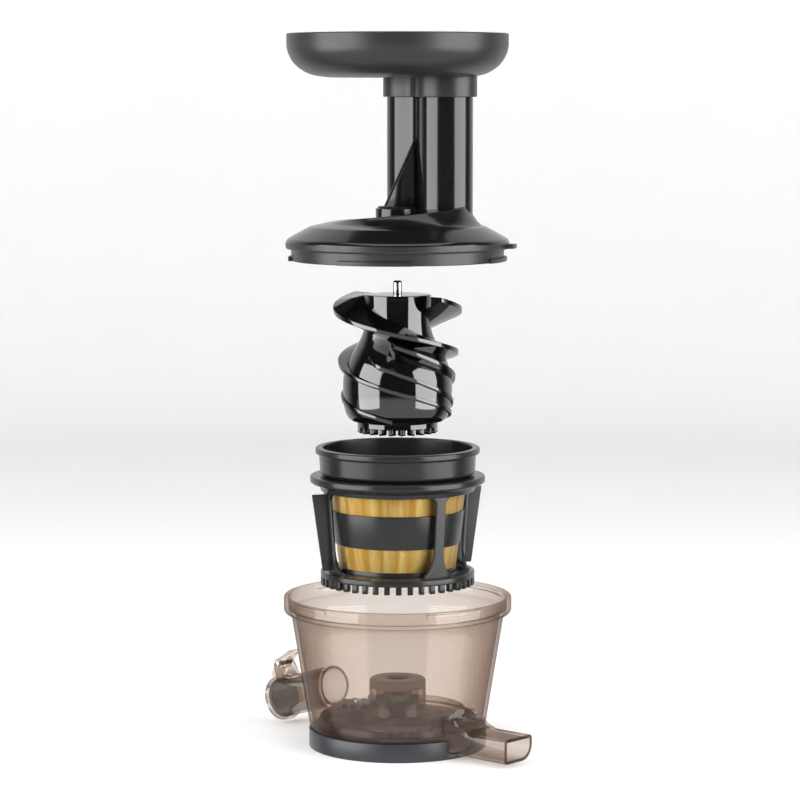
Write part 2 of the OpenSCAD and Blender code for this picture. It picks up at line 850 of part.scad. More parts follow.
module auger() {
    color("#1b1b1c")
        auger_place()
            difference() {
                union() {
                    rotate_extrude($fn = 120)
                        polygon(concat(
                            [[0, sun_ring_low], [sun_ring_r - 0.5, sun_ring_low], [sun_ring_r, sun_ring_low + 0.5],
                             [sun_ring_r, barrel_low - 0.5]],
                            [for (p = barrel_curve) [p[1], p[0]]],
                            [[0, auger_h]]
                        ));
                    for (f = flights)
                        flight(f, f[2]);
                    intersection() {
                        ring(sun_ring_r, sun_inner_r, 0, sun_ring_low + eps);
                        for (i = [0 : sun_n - 1])
                            rotate([0, 0, 180 + (i + 0.5) * 360 / sun_n])
                                linear_extrude(sun_ring_low + eps)
                                    tooth_2d(sun_pitch_r, sun_inner_r - 1, sun_ring_r + 1);
                    }
                }
                translate([0, 0, -1])
                    cylinder(r = hollow_r, h = hollow_top + 1);
                translate([0, 0, hollow_top - 1])
                    cylinder(r = socket_r, h = socket_h + 1);
                translate([0, 0, auger_h - pin_depth])
                    cylinder(r = pin_r + run_fit, h = pin_depth + 1, $fn = 48);
            }
}

module drive_socket() {
    color("#8f9296")
        auger_place()
            difference() {
                translate([0, 0, hollow_top])
                    cylinder(r = socket_r, h = socket_h);
                translate([0, 0, hollow_top - 1])
                    cylinder(r = socket_flats / sqrt(3), h = socket_h - 2, $fn = 6);
            }
}

module socket_retainer() {
    color("#3a3a3b")
        auger_place()
            ring(hollow_r, socket_flats / sqrt(3) + 1, hollow_top - 1, hollow_top);
}

module auger_pin() {
    color("#d0d3d6")
        auger_place()
            translate([0, 0, auger_h - pin_depth + 1]) {
                cylinder(r = pin_r, h = pin_depth - 1 + pin_out - 1.6, $fn = 48);
                translate([0, 0, pin_depth - 1 + pin_out - 1.6])
                    rotate_extrude($fn = 48)
                        polygon(concat([[0, 0]], arc(pin_r - 1.6, 0, 1.6, 0, 90, 6), [[0, 1.6]]));
            }
}

// ---------- lid and hopper ----------

module lid_place() {
    translate([0, 0, strainer_lift + auger_lift + lid_lift])
        children();
}

// Curved feed chute section, grown by g, from z0 to z1
module chute_solid(z0, z1, g) {
    r = chute_half_w + g;
    a1 = chute_a + chute_span;
    translate([0, 0, z0])
        linear_extrude(z1 - z0)
            polygon(concat(
                arc(0, 0, chute_mid_r + r, chute_a, a1, 14),
                arc(chute_mid_r * cos(a1), chute_mid_r * sin(a1), r, a1 + 15, a1 + 165, 10),
                arc(0, 0, chute_mid_r - r, a1, chute_a, 6),
                arc(chute_mid_r * cos(chute_a), chute_mid_r * sin(chute_a), r, chute_a + 195, chute_a + 345, 10)
            ));
}

// Outside of the lid, with its rolled flange, grown inwards by t for the inside
lid_outline = [
    [lid_r - 1, bowl_top + lid_gap], [lid_r, bowl_top + 1.6], [lid_r, flange_top],
    [lid_r - 1.6, flange_top + 2.2], [lid_r - 8, flange_top + 5.9],
    [lid_r - 14.5, lid_top - 4.2], [lid_r - 17, lid_top - 3], [lid_r - 26, lid_top - 1.2],
    [lid_r - 35, lid_top]
];

module feed_lid() {
    inner_top = lid_top - lid_wall;
    color("#323334")
        lid_place()
            difference() {
                union() {
                    difference() {
                        union() {
                            rotate_extrude($fn = 180)
                                polygon(concat([[0, bowl_top + lid_gap]], lid_outline, [[0, lid_top]]));
                            ring(skirt_r, skirt_r - lid_wall, ledge_z + 1, bowl_top + 1);
                            for (a = lug_angles)
                                sector(lug_r, skirt_r - 1, ledge_z + 1, ledge_z + 3.8, a - lug_span / 2, lug_span);
                        }
                        rotate_extrude($fn = 180)
                            polygon([
                                [0, bowl_top - 1], [skirt_r - lid_wall, bowl_top - 1],
                                [skirt_r - lid_wall, flange_top - 1], [lid_r - 16.5, flange_top + 6.4],
                                [lid_r - 23, flange_top + 9], [lid_r - 36, inner_top], [0, inner_top]
                            ]);
                    }
                    chute_solid(inner_top, chute_top, 0);
                    // centre boss and the hub under it for the pin's bush
                    translate([0, 0, lid_top - 1])
                        cylinder(r = hub_r, h = hub_top - lid_top - 0.2);
                    translate([0, 0, lid_top - 1])
                        cylinder(r = hub_r - 1.2, h = hub_top - lid_top + 1);
                    translate([0, 0, bush_low])
                        cylinder(r = bush_r + 2.5, h = lid_top - bush_low);
                    lid_fin();
                    lid_swirl();
                    // tab that carries the safety magnet
                    rotate([0, 0, magnet_a])
                        translate([lid_r - 5, -5.5, tab_low])
                            cube([magnet_reach + 5, 11, tab_h]);
                }
                chute_solid(inner_top - 8, chute_top + 1, -chute_wall);
                translate([0, 0, bush_low - 1])
                    cylinder(r = bush_r + run_fit, h = bush_h + 1 + run_fit, $fn = 64);
                rotate([0, 0, magnet_a])
                    translate([magnet_at, 0, tab_low - 1])
                        cylinder(r = magnet_r, h = pocket_h + 1, $fn = 48);
            }
}

magnet_a = 28;
magnet_reach = 5.4;
magnet_r = 2;
magnet_h = 1.4;
magnet_at = lid_r + 2.4;
tab_low = bowl_top + 1.2;
tab_h = 3;
pocket_h = 2.2;

// Triangular fin from the chute's hollow side down across the boss
fin_rise = 56;
fin_reach = 10.5;
fin_t = 3;
module lid_fin() {
    wall = chute_mid_r - chute_half_w + 1;
    rotate([0, 0, chute_a + chute_span / 2])
        rotate([90, 0, 0])
            linear_extrude(fin_t, center = true)
                polygon([[-fin_reach, hub_top - 1], [wall, hub_top - 1], [wall, lid_top + fin_rise]]);
}

// Ramp that rises round the front of the dome to the chute's foot, hollow on its outer side
swirl_from = -122;
swirl_turn = 177;
swirl_rise = 11.5;
swirl_r = 43;
module lid_swirl() {
    n = 30;
    rows = [
        for (i = [0 : n])
            let (
                s = i / n,
                a = swirl_from + swirl_turn * s,
                r0 = hub_r + 1.7,
                r1 = swirl_r + 8 * s - 40 * max(0, s - 0.9),
                h = 0.3 + swirl_rise * s
            )
            each [
                [r0 * cos(a), r0 * sin(a), lid_top - 1.2],
                [(r1 + 1.5) * cos(a), (r1 + 1.5) * sin(a), lid_top - 3.4],
                [(r1 - 0.5) * cos(a), (r1 - 0.5) * sin(a), lid_top - 0.4 + h * 0.25],
                [(r1 - 3.5) * cos(a), (r1 - 3.5) * sin(a), lid_top + h],
                [r0 * cos(a), r0 * sin(a), lid_top + h * 0.85]
            ]
    ];
    sides = [
        for (i = [0 : n - 1])
            for (j = [0 : 4])
                let (k = (j + 1) % 5)
                each [
                    [5 * i + j, 5 * i + k, 5 * i + 5 + k],
                    [5 * i + j, 5 * i + 5 + k, 5 * i + 5 + j]
                ]
    ];
    e = 5 * n;
    ends = [[2, 1, 0], [3, 2, 0], [4, 3, 0], [e, e + 1, e + 2], [e, e + 2, e + 3], [e, e + 3, e + 4]];
    polyhedron(rows, concat(sides, ends), convexity = 8);
}

module lid_bush() {
    color("#c8c4b8")
        lid_place()
            ring(bush_r, pin_r + run_fit, bush_low, bush_low + bush_h, $fn = 64);
}

module safety_magnet() {
    color("#9a9da1")
        lid_place()
            rotate([0, 0, magnet_a])
                translate([magnet_at, 0, tab_low + pocket_h - magnet_h])
                    cylinder(r = magnet_r, h = magnet_h, $fn = 48);
}

module magnet_cover() {
    color("#2b2b2c")
        lid_place()
            rotate([0, 0, magnet_a])
                translate([magnet_at, 0, tab_low])
                    cylinder(r = magnet_r, h = pocket_h - magnet_h, $fn = 48);
}

module hopper_tray() {
    top = tray_floor + tray_h;
    color("#343536")
        lid_place()
            difference() {
                union() {
                    rotate_extrude($fn = 180)
                        polygon(concat(
                            [[0, tray_floor], [tray_r - 28, tray_floor], [tray_r - 18, tray_floor + 1.2]],
                            [[tray_r - 9, tray_floor + 5], [tray_r - 3, tray_floor + 11]],
                            [[tray_r, tray_floor + 18]],
                            arc(tray_r - 1, top - 1, 1, 0, 90, 3),
                            [[0, top]]
                        ));
                    chute_solid(boot_low, tray_floor + 1, chute_wall + 0.3);
                }
                rotate_extrude($fn = 180)
                    polygon([
                        [0, tray_floor + tray_wall + 0.8], [tray_r - 28, tray_floor + tray_wall],
                        [tray_r - 19, tray_floor + tray_wall + 1.4],
                        [tray_r - 10.6, tray_floor + tray_wall + 5],
                        [tray_r - 5.2, tray_floor + tray_wall + 10.4],
                        [tray_r - tray_wall, tray_floor + 19],
                        [tray_r - tray_wall, top + 1], [0, top + 1]
                    ]);
                // socket over the chute's top, and the way through
                chute_solid(boot_low - 1, chute_top + 0.1, 0.15);
                chute_solid(chute_top - 1, top + 1, -chute_wall);
            }
}

bowl_base();
base_screws();
juicing_bowl();
drive_seal();
idler_axle();
idler_gear();
cap_hinge_pin();
juice_cap();
juice_cap_seal();
strainer_frame();
strainer_collar();
strainer_mesh_upper();
strainer_mesh_lower();
brush_cage();
outer_wiper_blades();
inner_wiper_blades();
auger_pin();
auger();
drive_socket();
socket_retainer();
lid_bush();
feed_lid();
safety_magnet();
magnet_cover();
hopper_tray();
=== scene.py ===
# %% [markdown]
# # A cold press juicer, taken apart above its bowl
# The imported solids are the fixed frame. Every piece below is made in the same frame, in
# millimetres that one helper turns to metres, and rides on the body that carries it.

# %% Load the frame
import math

import bmesh
import bpy
import numpy as np
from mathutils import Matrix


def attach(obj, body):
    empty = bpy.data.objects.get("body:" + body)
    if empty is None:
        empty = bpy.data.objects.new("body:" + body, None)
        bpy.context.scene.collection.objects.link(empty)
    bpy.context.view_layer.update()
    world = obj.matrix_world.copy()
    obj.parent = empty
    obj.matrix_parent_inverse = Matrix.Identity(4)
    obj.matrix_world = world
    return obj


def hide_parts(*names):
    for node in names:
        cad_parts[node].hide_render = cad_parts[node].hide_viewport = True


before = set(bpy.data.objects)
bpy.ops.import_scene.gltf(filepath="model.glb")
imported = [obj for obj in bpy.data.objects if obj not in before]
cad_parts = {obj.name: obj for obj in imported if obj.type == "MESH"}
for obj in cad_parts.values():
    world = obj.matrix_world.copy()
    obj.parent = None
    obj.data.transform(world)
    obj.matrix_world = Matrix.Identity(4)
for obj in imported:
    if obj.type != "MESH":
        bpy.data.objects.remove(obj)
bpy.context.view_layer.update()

# %% [markdown]
# ## Sizes
# The sizes are the real object's, in millimetres, and match the solids. Each unit is drawn at
# the height where it hangs above the bowl, so only its base level changes from unit to unit.
# The strainer sits 20 mm over the bowl's foot, and a lift is how far a unit is taken up from
# the one below. The lid's and tray's own heights count from the bowl's foot.

# %% Levels and sizes
MM = 0.001
SEAT, STRAINER_LIFT, AUGER_LIFT, LID_LIFT = 20.0, 87.9, 100.1, 40.0
STRAINER_Z = SEAT + STRAINER_LIFT
AUGER_Z = STRAINER_Z + AUGER_LIFT
LID_Z = STRAINER_LIFT + AUGER_LIFT + LID_LIFT
print("strainer, auger and lid hang at", STRAINER_Z, AUGER_Z, LID_Z, "mm")

# %% [markdown]
# ## Helpers for shapes
# Moulded parts are mostly turned shapes and swept sections with small rounded corners. One
# helper rounds the corners of an outline, one joins rows of points into a closed skin, and one
# turns an outline about the upright axis. A skin is a pair of points and faces, and numpy works
# on all its points at once, which a chain of Blender's own operators would do more slowly.

# %% Outlines
SIDE_SHARE = 0.48  # the most of a side that a corner's curve takes


def rounded(corners, steps=4, closed=True):
    """Outline with each corner (x, y, radius) replaced by a small curve"""
    points = []
    n = len(corners)
    for i, (x, y, r) in enumerate(corners):
        here = np.array((x, y), float)
        if r == 0 or (not closed and i in (0, n - 1)):
            points.append(tuple(here))
            continue
        before = np.array(corners[i - 1][:2], float) - here
        after = np.array(corners[(i + 1) % n][:2], float) - here
        la, lb = np.linalg.norm(before), np.linalg.norm(after)
        half = math.acos(max(-1, min(1, before @ after / la / lb))) / 2
        reach = min(r / math.tan(half), SIDE_SHARE * la, SIDE_SHARE * lb)
        a, b = here + before / la * reach, here + after / lb * reach
        for t in np.linspace(0, 1, steps + 1):
            points.append(tuple((1 - t) ** 2 * a + 2 * t * (1 - t) * here + t * t * b))
    return points


def flowing(points):
    """Smooth curve through the points (Catmull-Rom), eight steps from each to the next"""
    p = [np.array(q, float) for q in points]
    p = [2 * p[0] - p[1]] + p + [2 * p[-1] - p[-2]]
    made = []
    for i in range(1, len(p) - 2):
        for t in np.linspace(0, 1, 8, endpoint=False):
            a, b, c, d = p[i - 1], p[i], p[i + 1], p[i + 2]
            made.append(0.5 * (2 * b + (c - a) * t + (2 * a - 5 * b + 4 * c - d) * t * t
                               + (3 * b - a - 3 * c + d) * t ** 3))
    return [tuple(q) for q in made] + [tuple(p[-2])]


print("a rounded corner has", len(rounded([(0, 0, 0), (9, 0, 2), (9, 9, 0)], closed=False)) - 2,
      "points")

# %% Skins
ROUND, PART_STEPS = 192, 24  # steps in a full turn and in a part of one


def skin(rows, wrap=False, caps=True):
    """Closed loops of points joined row by row, with flat caps unless the rows wrap round"""
    rows = np.array(rows, float)
    m, n = rows.shape[:2]
    faces = []
    for i in range(m if wrap else m - 1):
        a, b = i * n, (i + 1) % m * n
        faces += [(a + j, a + (j + 1) % n, b + (j + 1) % n, b + j) for j in range(n)]
    if caps and not wrap:
        faces += [tuple(range(n))[::-1], tuple(range((m - 1) * n, m * n))]
    return rows.reshape(-1, 3), faces


def turned(outline, z=0.0, steps=ROUND):
    """Outline of (radius, height) turned about the axis; an outline that starts on the axis
    stays open, any other is joined end to start"""
    angles = np.arange(steps) * 2 * math.pi / steps
    rows = [
        np.stack([r * np.cos(angles), r * np.sin(angles), np.full(steps, h + z)], 1)
        for r, h in outline
    ]
    return skin(rows, wrap=outline[0][0] != 0, caps=False)


def swung(section, a, z):
    """Points of a section of (radius, height), swung about the axis by an angle in radians"""
    return [(r * math.cos(a), r * math.sin(a), h + z) for r, h in section]


def part_turned(outline, start, span, z):
    """Outline turned over a part of a turn, with flat ends, angles in degrees"""
    angles = np.radians(np.linspace(start, start + span, PART_STEPS + 1))
    return skin([swung(outline, a, z) for a in angles])


def prism(outline, low, high):
    """Outline in plan, raised from low to high"""
    return skin([[(x, y, h) for x, y in outline] for h in (low, high)])


def plate(outline, thick, z):
    """Upright plate along +X, from its side outline of (radius, height)"""
    return skin([[(r, w, h + z) for r, h in outline] for w in (-thick / 2, thick / 2)])


def turn_about_z(shape, degrees):
    """The shape turned about the upright axis"""
    verts, faces = shape
    a = math.radians(degrees)
    m = np.array([[math.cos(a), math.sin(a), 0], [-math.sin(a), math.cos(a), 0], [0, 0, 1]])
    return np.array(verts) @ m, faces


print("a square turned about the axis has",
      len(turned([(1, 0), (2, 0), (2, 1), (1, 1)])[1]), "faces")

# %% [markdown]
# ## From skins to pieces
# A piece is one mesh with its place in its points. Its skins are merged and their normals
# recalculated. Sharp corners are marked by their angle so that faces shade smoothly between
# them, and a narrow bevel gives the edges the thin bright line that moulded plastic shows. A
# modifier makes the bevel and the cuts, and is then applied, so that only a plain mesh is left.

# %% Make a mesh
SAME, THINNEST = 1e-7, 1e-8  # metres: points nearer than this are one, thinner faces go


def placed(name, bm):
    """New object in the scene, with the mesh that was built"""
    mesh = bpy.data.meshes.new(name)
    bm.to_mesh(mesh)
    bm.free()
    piece = bpy.data.objects.new(name, mesh)
    bpy.context.scene.collection.objects.link(piece)
    return piece


def raw_mesh(name, *shapes):
    """One mesh object from several skins, in metres, merged, with its faces outwards"""
    bm = bmesh.new()
    for verts, faces in shapes:
        made = [bm.verts.new(tuple(float(c) * MM for c in v)) for v in verts]
        for f in faces:
            bm.faces.new([made[i] for i in f])
    bmesh.ops.remove_doubles(bm, verts=bm.verts, dist=SAME)
    bmesh.ops.dissolve_degenerate(bm, edges=bm.edges, dist=THINNEST)
    bmesh.ops.recalc_face_normals(bm, faces=bm.faces)
    piece = placed(name, bm)
    print(name, len(piece.data.polygons), "faces")
    return piece


# %% Cut and soften
CORNER = 32  # degrees; an edge that turns by more is a corner


def settle(piece):
    """Applies the piece's modifiers and leaves it a plain mesh"""
    graph = bpy.context.evaluated_depsgraph_get()
    done = bpy.data.meshes.new_from_object(piece.evaluated_get(graph))
    piece.modifiers.clear()
    piece.data = done


def carve(piece, cutter):
    """Cuts another mesh out of the piece, and removes it"""
    step = piece.modifiers.new("carve", "BOOLEAN")
    step.operation, step.solver, step.object = "DIFFERENCE", "EXACT", cutter
    settle(piece)
    bpy.data.objects.remove(cutter)


def soften(piece, width=0.0, corner=CORNER, segments=2, limit="ANGLE"):
    """Narrow bevel on the corners, then smooth shading between them"""
    if width:
        step = piece.modifiers.new("edge", "BEVEL")
        step.width, step.segments = width * MM, segments
        step.limit_method, step.angle_limit = limit, math.radians(corner)
        step.use_clamp_overlap, step.miter_outer = True, "MITER_ARC"
        settle(piece)
    piece.data.shade_smooth()
    piece.data.set_sharp_from_angle(angle=math.radians(corner))
    return piece


def finish_piece(piece, material, body, node):
    """Gives the piece its finish and its body, and hides the solid that it stands for"""
    piece.data.materials.clear()
    piece.data.materials.append(material)
    piece.data.polygons.foreach_set("material_index", [0] * len(piece.data.polygons))
    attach(piece, body)
    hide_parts(node)
    print(piece.name, len(piece.data.polygons), "faces on", body)


# %% [markdown]
# ## Camera
# The object is seen from slightly above, about two metres away, from between its two
# spouts. A long lens keeps the rims close to true ellipses. The camera comes first, because
# everything else is judged through it. Its places are in metres, its lens in millimetres.

# %% Camera
EYE_TURN = math.radians(42)
EYE_AWAY, EYE_HIGH, AIM_HIGH, AIM_RIGHT = 1.92, 0.43, 0.2290, 0.0016
LENS, SENSOR, NEAREST = 132.6, 36.0, 0.05
away = np.array([math.sin(EYE_TURN), -math.cos(EYE_TURN), 0])
right = np.array([math.cos(EYE_TURN), math.sin(EYE_TURN), 0])
camera = bpy.data.objects.new("camera", bpy.data.cameras.new("camera"))
bpy.context.scene.collection.objects.link(camera)
camera.location = away * EYE_AWAY + right * AIM_RIGHT + np.array([0, 0, EYE_HIGH])
camera.rotation_euler = (math.pi / 2 - math.atan((EYE_HIGH - AIM_HIGH) / EYE_AWAY), 0, EYE_TURN)
camera.data.lens = LENS
camera.data.sensor_width = SENSOR
camera.data.clip_start = NEAREST
bpy.context.scene.camera = camera
print("camera at", [round(v, 3) for v in camera.location])


# %% [markdown]
# ## Helpers for materials
# Colours are given as the hex values that a paint chart would give, and turned to linear light.
# One function adds a shader node with its settings and links. A Mix node has sockets for each
# kind of data: between colours, its share is input 0, the colours are inputs 6 and 7, and the
# result is output 2.


# %% Colour and nodes
def linear(hex_colour):
    """sRGB hex to linear RGBA"""
    parts = [int(hex_colour[i:i + 2], 16) / 255 for i in (1, 3, 5)]
    return [c / 12.92 if c <= 0.04045 else ((c + 0.055) / 1.055) ** 2.4 for c in parts] + [1.0]


def add(tree, kind, settings=None, inputs=None):
    """Adds a node; an input is a value or another node's output"""
    made = tree.nodes.new(kind)
    for key, value in (settings or {}).items():
        setattr(made, key, value)
    for key, value in (inputs or {}).items():
        if isinstance(value, bpy.types.NodeSocket):
            tree.links.new(value, made.inputs[key])
        else:
            made.inputs[key].default_value = value
    return made


def new_material(name):
    """New material, its empty node tree and, in it, the place of a point on the object"""
    material = bpy.data.materials.new(name)
    material.use_nodes = True
    tree = material.node_tree
    tree.nodes.clear()
    return material, tree, add(tree, "ShaderNodeTexCoord").outputs["Object"]


def show(tree, shader):
    """Joins the shader to a material's output"""
    add(tree, "ShaderNodeOutputMaterial", inputs={"Surface": shader})


print("half grey is", round(linear("#808080")[0], 3), "in linear light")


# %% [markdown]
# ## Moulded plastics
# The tray, the lid's skirt and the base ring are injection moulded ABS with a fine
# spark-eroded texture, which gives a soft wide highlight. The lid, the strainer's frame and the
# cage come from a polished mould and shine more. The auger is a polished glass-filled polymer,
# black and glossy like lacquer, so its IOR is set above plastic's usual 1.5. All need faint
# unevenness: a slow variation of roughness, as from handling and flow of the melt, and a grain
# that is drawn at 0.5 mm, coarser than the real 0.05 mm, so that it shows. A noise's scale is
# how many of its features fit in a metre.

# %% Plastic materials
FLOW, GRAIN = 45.0, 1000 / 0.5  # clouds about 22 mm across, and a grain of 0.5 mm


def plastic(name, colour, dark, rough, grain, ior=1.53, spread=0.03):
    """Moulded plastic: two near shades, gloss uneven by a spread and a fine grain"""
    material, tree, place = new_material(name)
    flow = add(tree, "ShaderNodeTexNoise", inputs={
        "Vector": place, "Scale": FLOW, "Detail": 3.0, "Roughness": 0.6})
    shade = add(tree, "ShaderNodeMix", {"data_type": "RGBA"}, {
        0: flow.outputs["Fac"], 6: linear(colour), 7: linear(dark)})
    gloss = add(tree, "ShaderNodeMapRange", inputs={
        "Value": flow.outputs["Fac"], "From Min": 0.3, "From Max": 0.7,
        "To Min": rough - spread, "To Max": rough + spread})
    fine = add(tree, "ShaderNodeTexNoise", inputs={
        "Vector": place, "Scale": GRAIN, "Detail": 1.0})
    bump = add(tree, "ShaderNodeBump", inputs={
        "Height": fine.outputs["Fac"], "Strength": grain, "Distance": 0.00002})
    shader = add(tree, "ShaderNodeBsdfPrincipled", inputs={
        "Base Color": shade.outputs[2], "Roughness": gloss.outputs[0],
        "Normal": bump.outputs[0], "IOR": ior})
    show(tree, shader.outputs[0])
    return material


satin_abs = plastic("moulded_abs_satin_charcoal", "#262627", "#212122", 0.36, 0.2)
lid_abs = plastic("moulded_abs_gloss_black", "#141415", "#101011", 0.15, 0.06, 1.6, 0.02)
black_gloss = plastic("polished_polymer_black", "#0a0a0b", "#070708", 0.07, 0.01, 1.88, 0.01)
frame_gloss = plastic("polished_abs_black", "#252526", "#1f1f20", 0.24, 0.05, 1.45)
ring_grey = plastic("moulded_abs_slate_grey", "#333539", "#2e3034", 0.36, 0.2)
gear_pom = plastic("moulded_acetal_grey_brown", "#6a625c", "#5f5852", 0.42, 0.2)
bush_pom = plastic("turned_acetal_ivory", "#c9c5b9", "#bdb8ab", 0.4, 0.2)
print("plastics made")

# %% [markdown]
# ## Silicone, steel and plated mesh
# Silicone is rubbery: dark, with a wide dull highlight and a little sheen. Steel pins are
# turned and polished, so their highlight runs along fine rings, drawn 0.6 mm apart, coarser
# than a tool leaves them, so that they show. The strainer's sheet is etched stainless steel
# with a gold titanium nitride coat, a lattice of slots 1.5 mm apart. The slots are a pattern
# and not holes, because holes this small would take a million faces.

# %% Silicone
MOTTLE = 150.0  # patches of 7 mm


def silicone(name, colour, rough):
    """Soft rubber with sheen, a fifth darker in patches"""
    material, tree, place = new_material(name)
    cloud = add(tree, "ShaderNodeTexNoise", inputs={
        "Vector": place, "Scale": MOTTLE, "Detail": 4.0})
    dark = [c * 0.8 for c in linear(colour)[:3]] + [1.0]
    shade = add(tree, "ShaderNodeMix", {"data_type": "RGBA"}, {
        0: cloud.outputs["Fac"], 6: linear(colour), 7: dark})
    bump = add(tree, "ShaderNodeBump", inputs={
        "Height": cloud.outputs["Fac"], "Strength": 0.2, "Distance": 0.00005})
    shader = add(tree, "ShaderNodeBsdfPrincipled", inputs={
        "Base Color": shade.outputs[2], "Roughness": rough, "Normal": bump.outputs[0],
        "IOR": 1.41, "Sheen Weight": 0.15, "Sheen Roughness": 0.5})
    show(tree, shader.outputs[0])
    return material


seal_rubber = silicone("moulded_silicone_brown", "#6d5a4e", 0.62)
blade_rubber = silicone("moulded_silicone_black", "#2c2c2d", 0.55)
print("silicones made")

# %% Steel
TURNED_RINGS = 520.0  # rings 0.6 mm apart


def steel(name, colour, rough):
    """Turned steel: fine rings round the upright axis"""
    material, tree, place = new_material(name)
    rings = add(tree, "ShaderNodeTexWave", {
        "wave_type": "BANDS", "bands_direction": "Z"}, {
        "Vector": place, "Scale": TURNED_RINGS, "Distortion": 0.6,
        "Detail": 2.0})
    gloss = add(tree, "ShaderNodeMapRange", inputs={
        "Value": rings.outputs["Fac"], "To Min": rough - 0.05, "To Max": rough + 0.08})
    bump = add(tree, "ShaderNodeBump", inputs={
        "Height": rings.outputs["Fac"], "Strength": 0.12, "Distance": 0.00003})
    shader = add(tree, "ShaderNodeBsdfPrincipled", inputs={
        "Base Color": linear(colour), "Metallic": 1.0, "Roughness": gloss.outputs[0],
        "Normal": bump.outputs[0]})
    show(tree, shader.outputs[0])
    return material


pin_steel = steel("turned_stainless_steel", "#d3d5d8", 0.16)
screw_steel = steel("zinc_plated_steel", "#b4b8bd", 0.3)
print("steels made")

# %% Gold-coated mesh
SLOT_ROWS, ROW_CLIMB = 170.0, 4100.0  # rows in a turn, and their radians in a metre of height
STREAKS, STREAK_CLIMB = 7.0, 18.0  # in a radian of turn, and in a metre of height


def gold_sheet():
    """Etched sheet with a gold coat: two families of slanting rows of slots, measured round the
    cone from its angle, under bright and dull streaks of painted sheen, which change the gloss
    too"""
    material, tree, place = new_material("etched_steel_gold_coated")
    split = add(tree, "ShaderNodeSeparateXYZ", inputs={0: place})
    turn = add(tree, "ShaderNodeMath", {"operation": "ARCTAN2"}, {
        0: split.outputs["Y"], 1: split.outputs["X"]})
    # both counts put the rows 1.5 mm apart, at the middle of the cone and up its wall
    rows = add(tree, "ShaderNodeMath", {"operation": "MULTIPLY"}, {
        0: turn.outputs[0], 1: SLOT_ROWS})
    climb = add(tree, "ShaderNodeMath", {"operation": "MULTIPLY"}, {
        0: split.outputs["Z"], 1: ROW_CLIMB})
    waves = []
    for side in ("ADD", "SUBTRACT"):
        slope = add(tree, "ShaderNodeMath", {"operation": side}, {
            0: rows.outputs[0], 1: climb.outputs[0]})
        waves.append(add(tree, "ShaderNodeMath", {"operation": "SINE"}, {0: slope.outputs[0]}))
    lattice = add(tree, "ShaderNodeMath", {"operation": "MAXIMUM"}, {
        0: waves[0].outputs[0], 1: waves[1].outputs[0]})
    wires = add(tree, "ShaderNodeMapRange", inputs={
        "Value": lattice.outputs[0], "From Min": -0.3, "From Max": 0.95})
    # painted sheen: bright and dull stretches of colour, as the coat takes the light in upright
    # streaks; the gloss changes with them
    around = add(tree, "ShaderNodeMath", {"operation": "MULTIPLY"}, {
        0: turn.outputs[0], 1: STREAKS})
    lengthways = add(tree, "ShaderNodeMath", {"operation": "MULTIPLY"}, {
        0: split.outputs["Z"], 1: STREAK_CLIMB})
    streak_at = add(tree, "ShaderNodeCombineXYZ", inputs={
        "X": around.outputs[0], "Z": lengthways.outputs[0]})
    streak = add(tree, "ShaderNodeTexNoise", inputs={
        "Vector": streak_at.outputs[0], "Scale": 1.0, "Detail": 3.0})
    burst = add(tree, "ShaderNodeMapRange", inputs={
        "Value": streak.outputs["Fac"], "From Min": 0.42, "From Max": 0.75})
    # painted sheen: the gold is paler where a streak is bright
    painted_sheen = add(tree, "ShaderNodeMix", {"data_type": "RGBA"}, {
        0: burst.outputs[0], 6: linear("#cf9f45"), 7: linear("#ffe596")})
    shade = add(tree, "ShaderNodeMix", {"data_type": "RGBA"}, {
        0: wires.outputs[0], 6: linear("#4a300a"), 7: painted_sheen.outputs[2]})
    gloss = add(tree, "ShaderNodeMapRange", inputs={
        "Value": burst.outputs[0], "To Min": 0.42, "To Max": 0.28})
    bump = add(tree, "ShaderNodeBump", inputs={
        "Height": wires.outputs[0], "Strength": 0.8, "Distance": 0.0002})
    shader = add(tree, "ShaderNodeBsdfPrincipled", inputs={
        "Base Color": shade.outputs[2], "Metallic": 0.85, "Roughness": gloss.outputs[0],
        "Normal": bump.outputs[0]})
    show(tree, shader.outputs[0])
    return material


gold_mesh = gold_sheet()
print("gold mesh made")


# %% [markdown]
# ## Smoke-tinted clear plastic
# The bowl is a clear copolyester with a brown smoke tint. Its walls are thin and nearly
# parallel, so what stands behind them isn't bent, only tinted: each face that is crossed takes
# out some light, blue first, more so where it is met at a slant, and adds a trace of haze. The
# skin reflects little face on and much at a slant. Where a wall ends, light runs along inside
# it and comes out brown, so the spouts' ends are darker.

# %% Ends of the bowl's wall
# in metres, as all that a material reads: the juice spout's mouth and its axis, which falls by
# 17 degrees, its radius and half the ring's width, and where its side and the pulp end begin
SPOUT_MOUTH, SPOUT_AXIS = (-0.1039, 0.0, 0.017), (-0.9563, 0.0, -0.2924)
SPOUT_R, RING_HALF, SPOUT_SIDE, PULP_END = 0.0125, 0.0009, -0.05, 0.1037


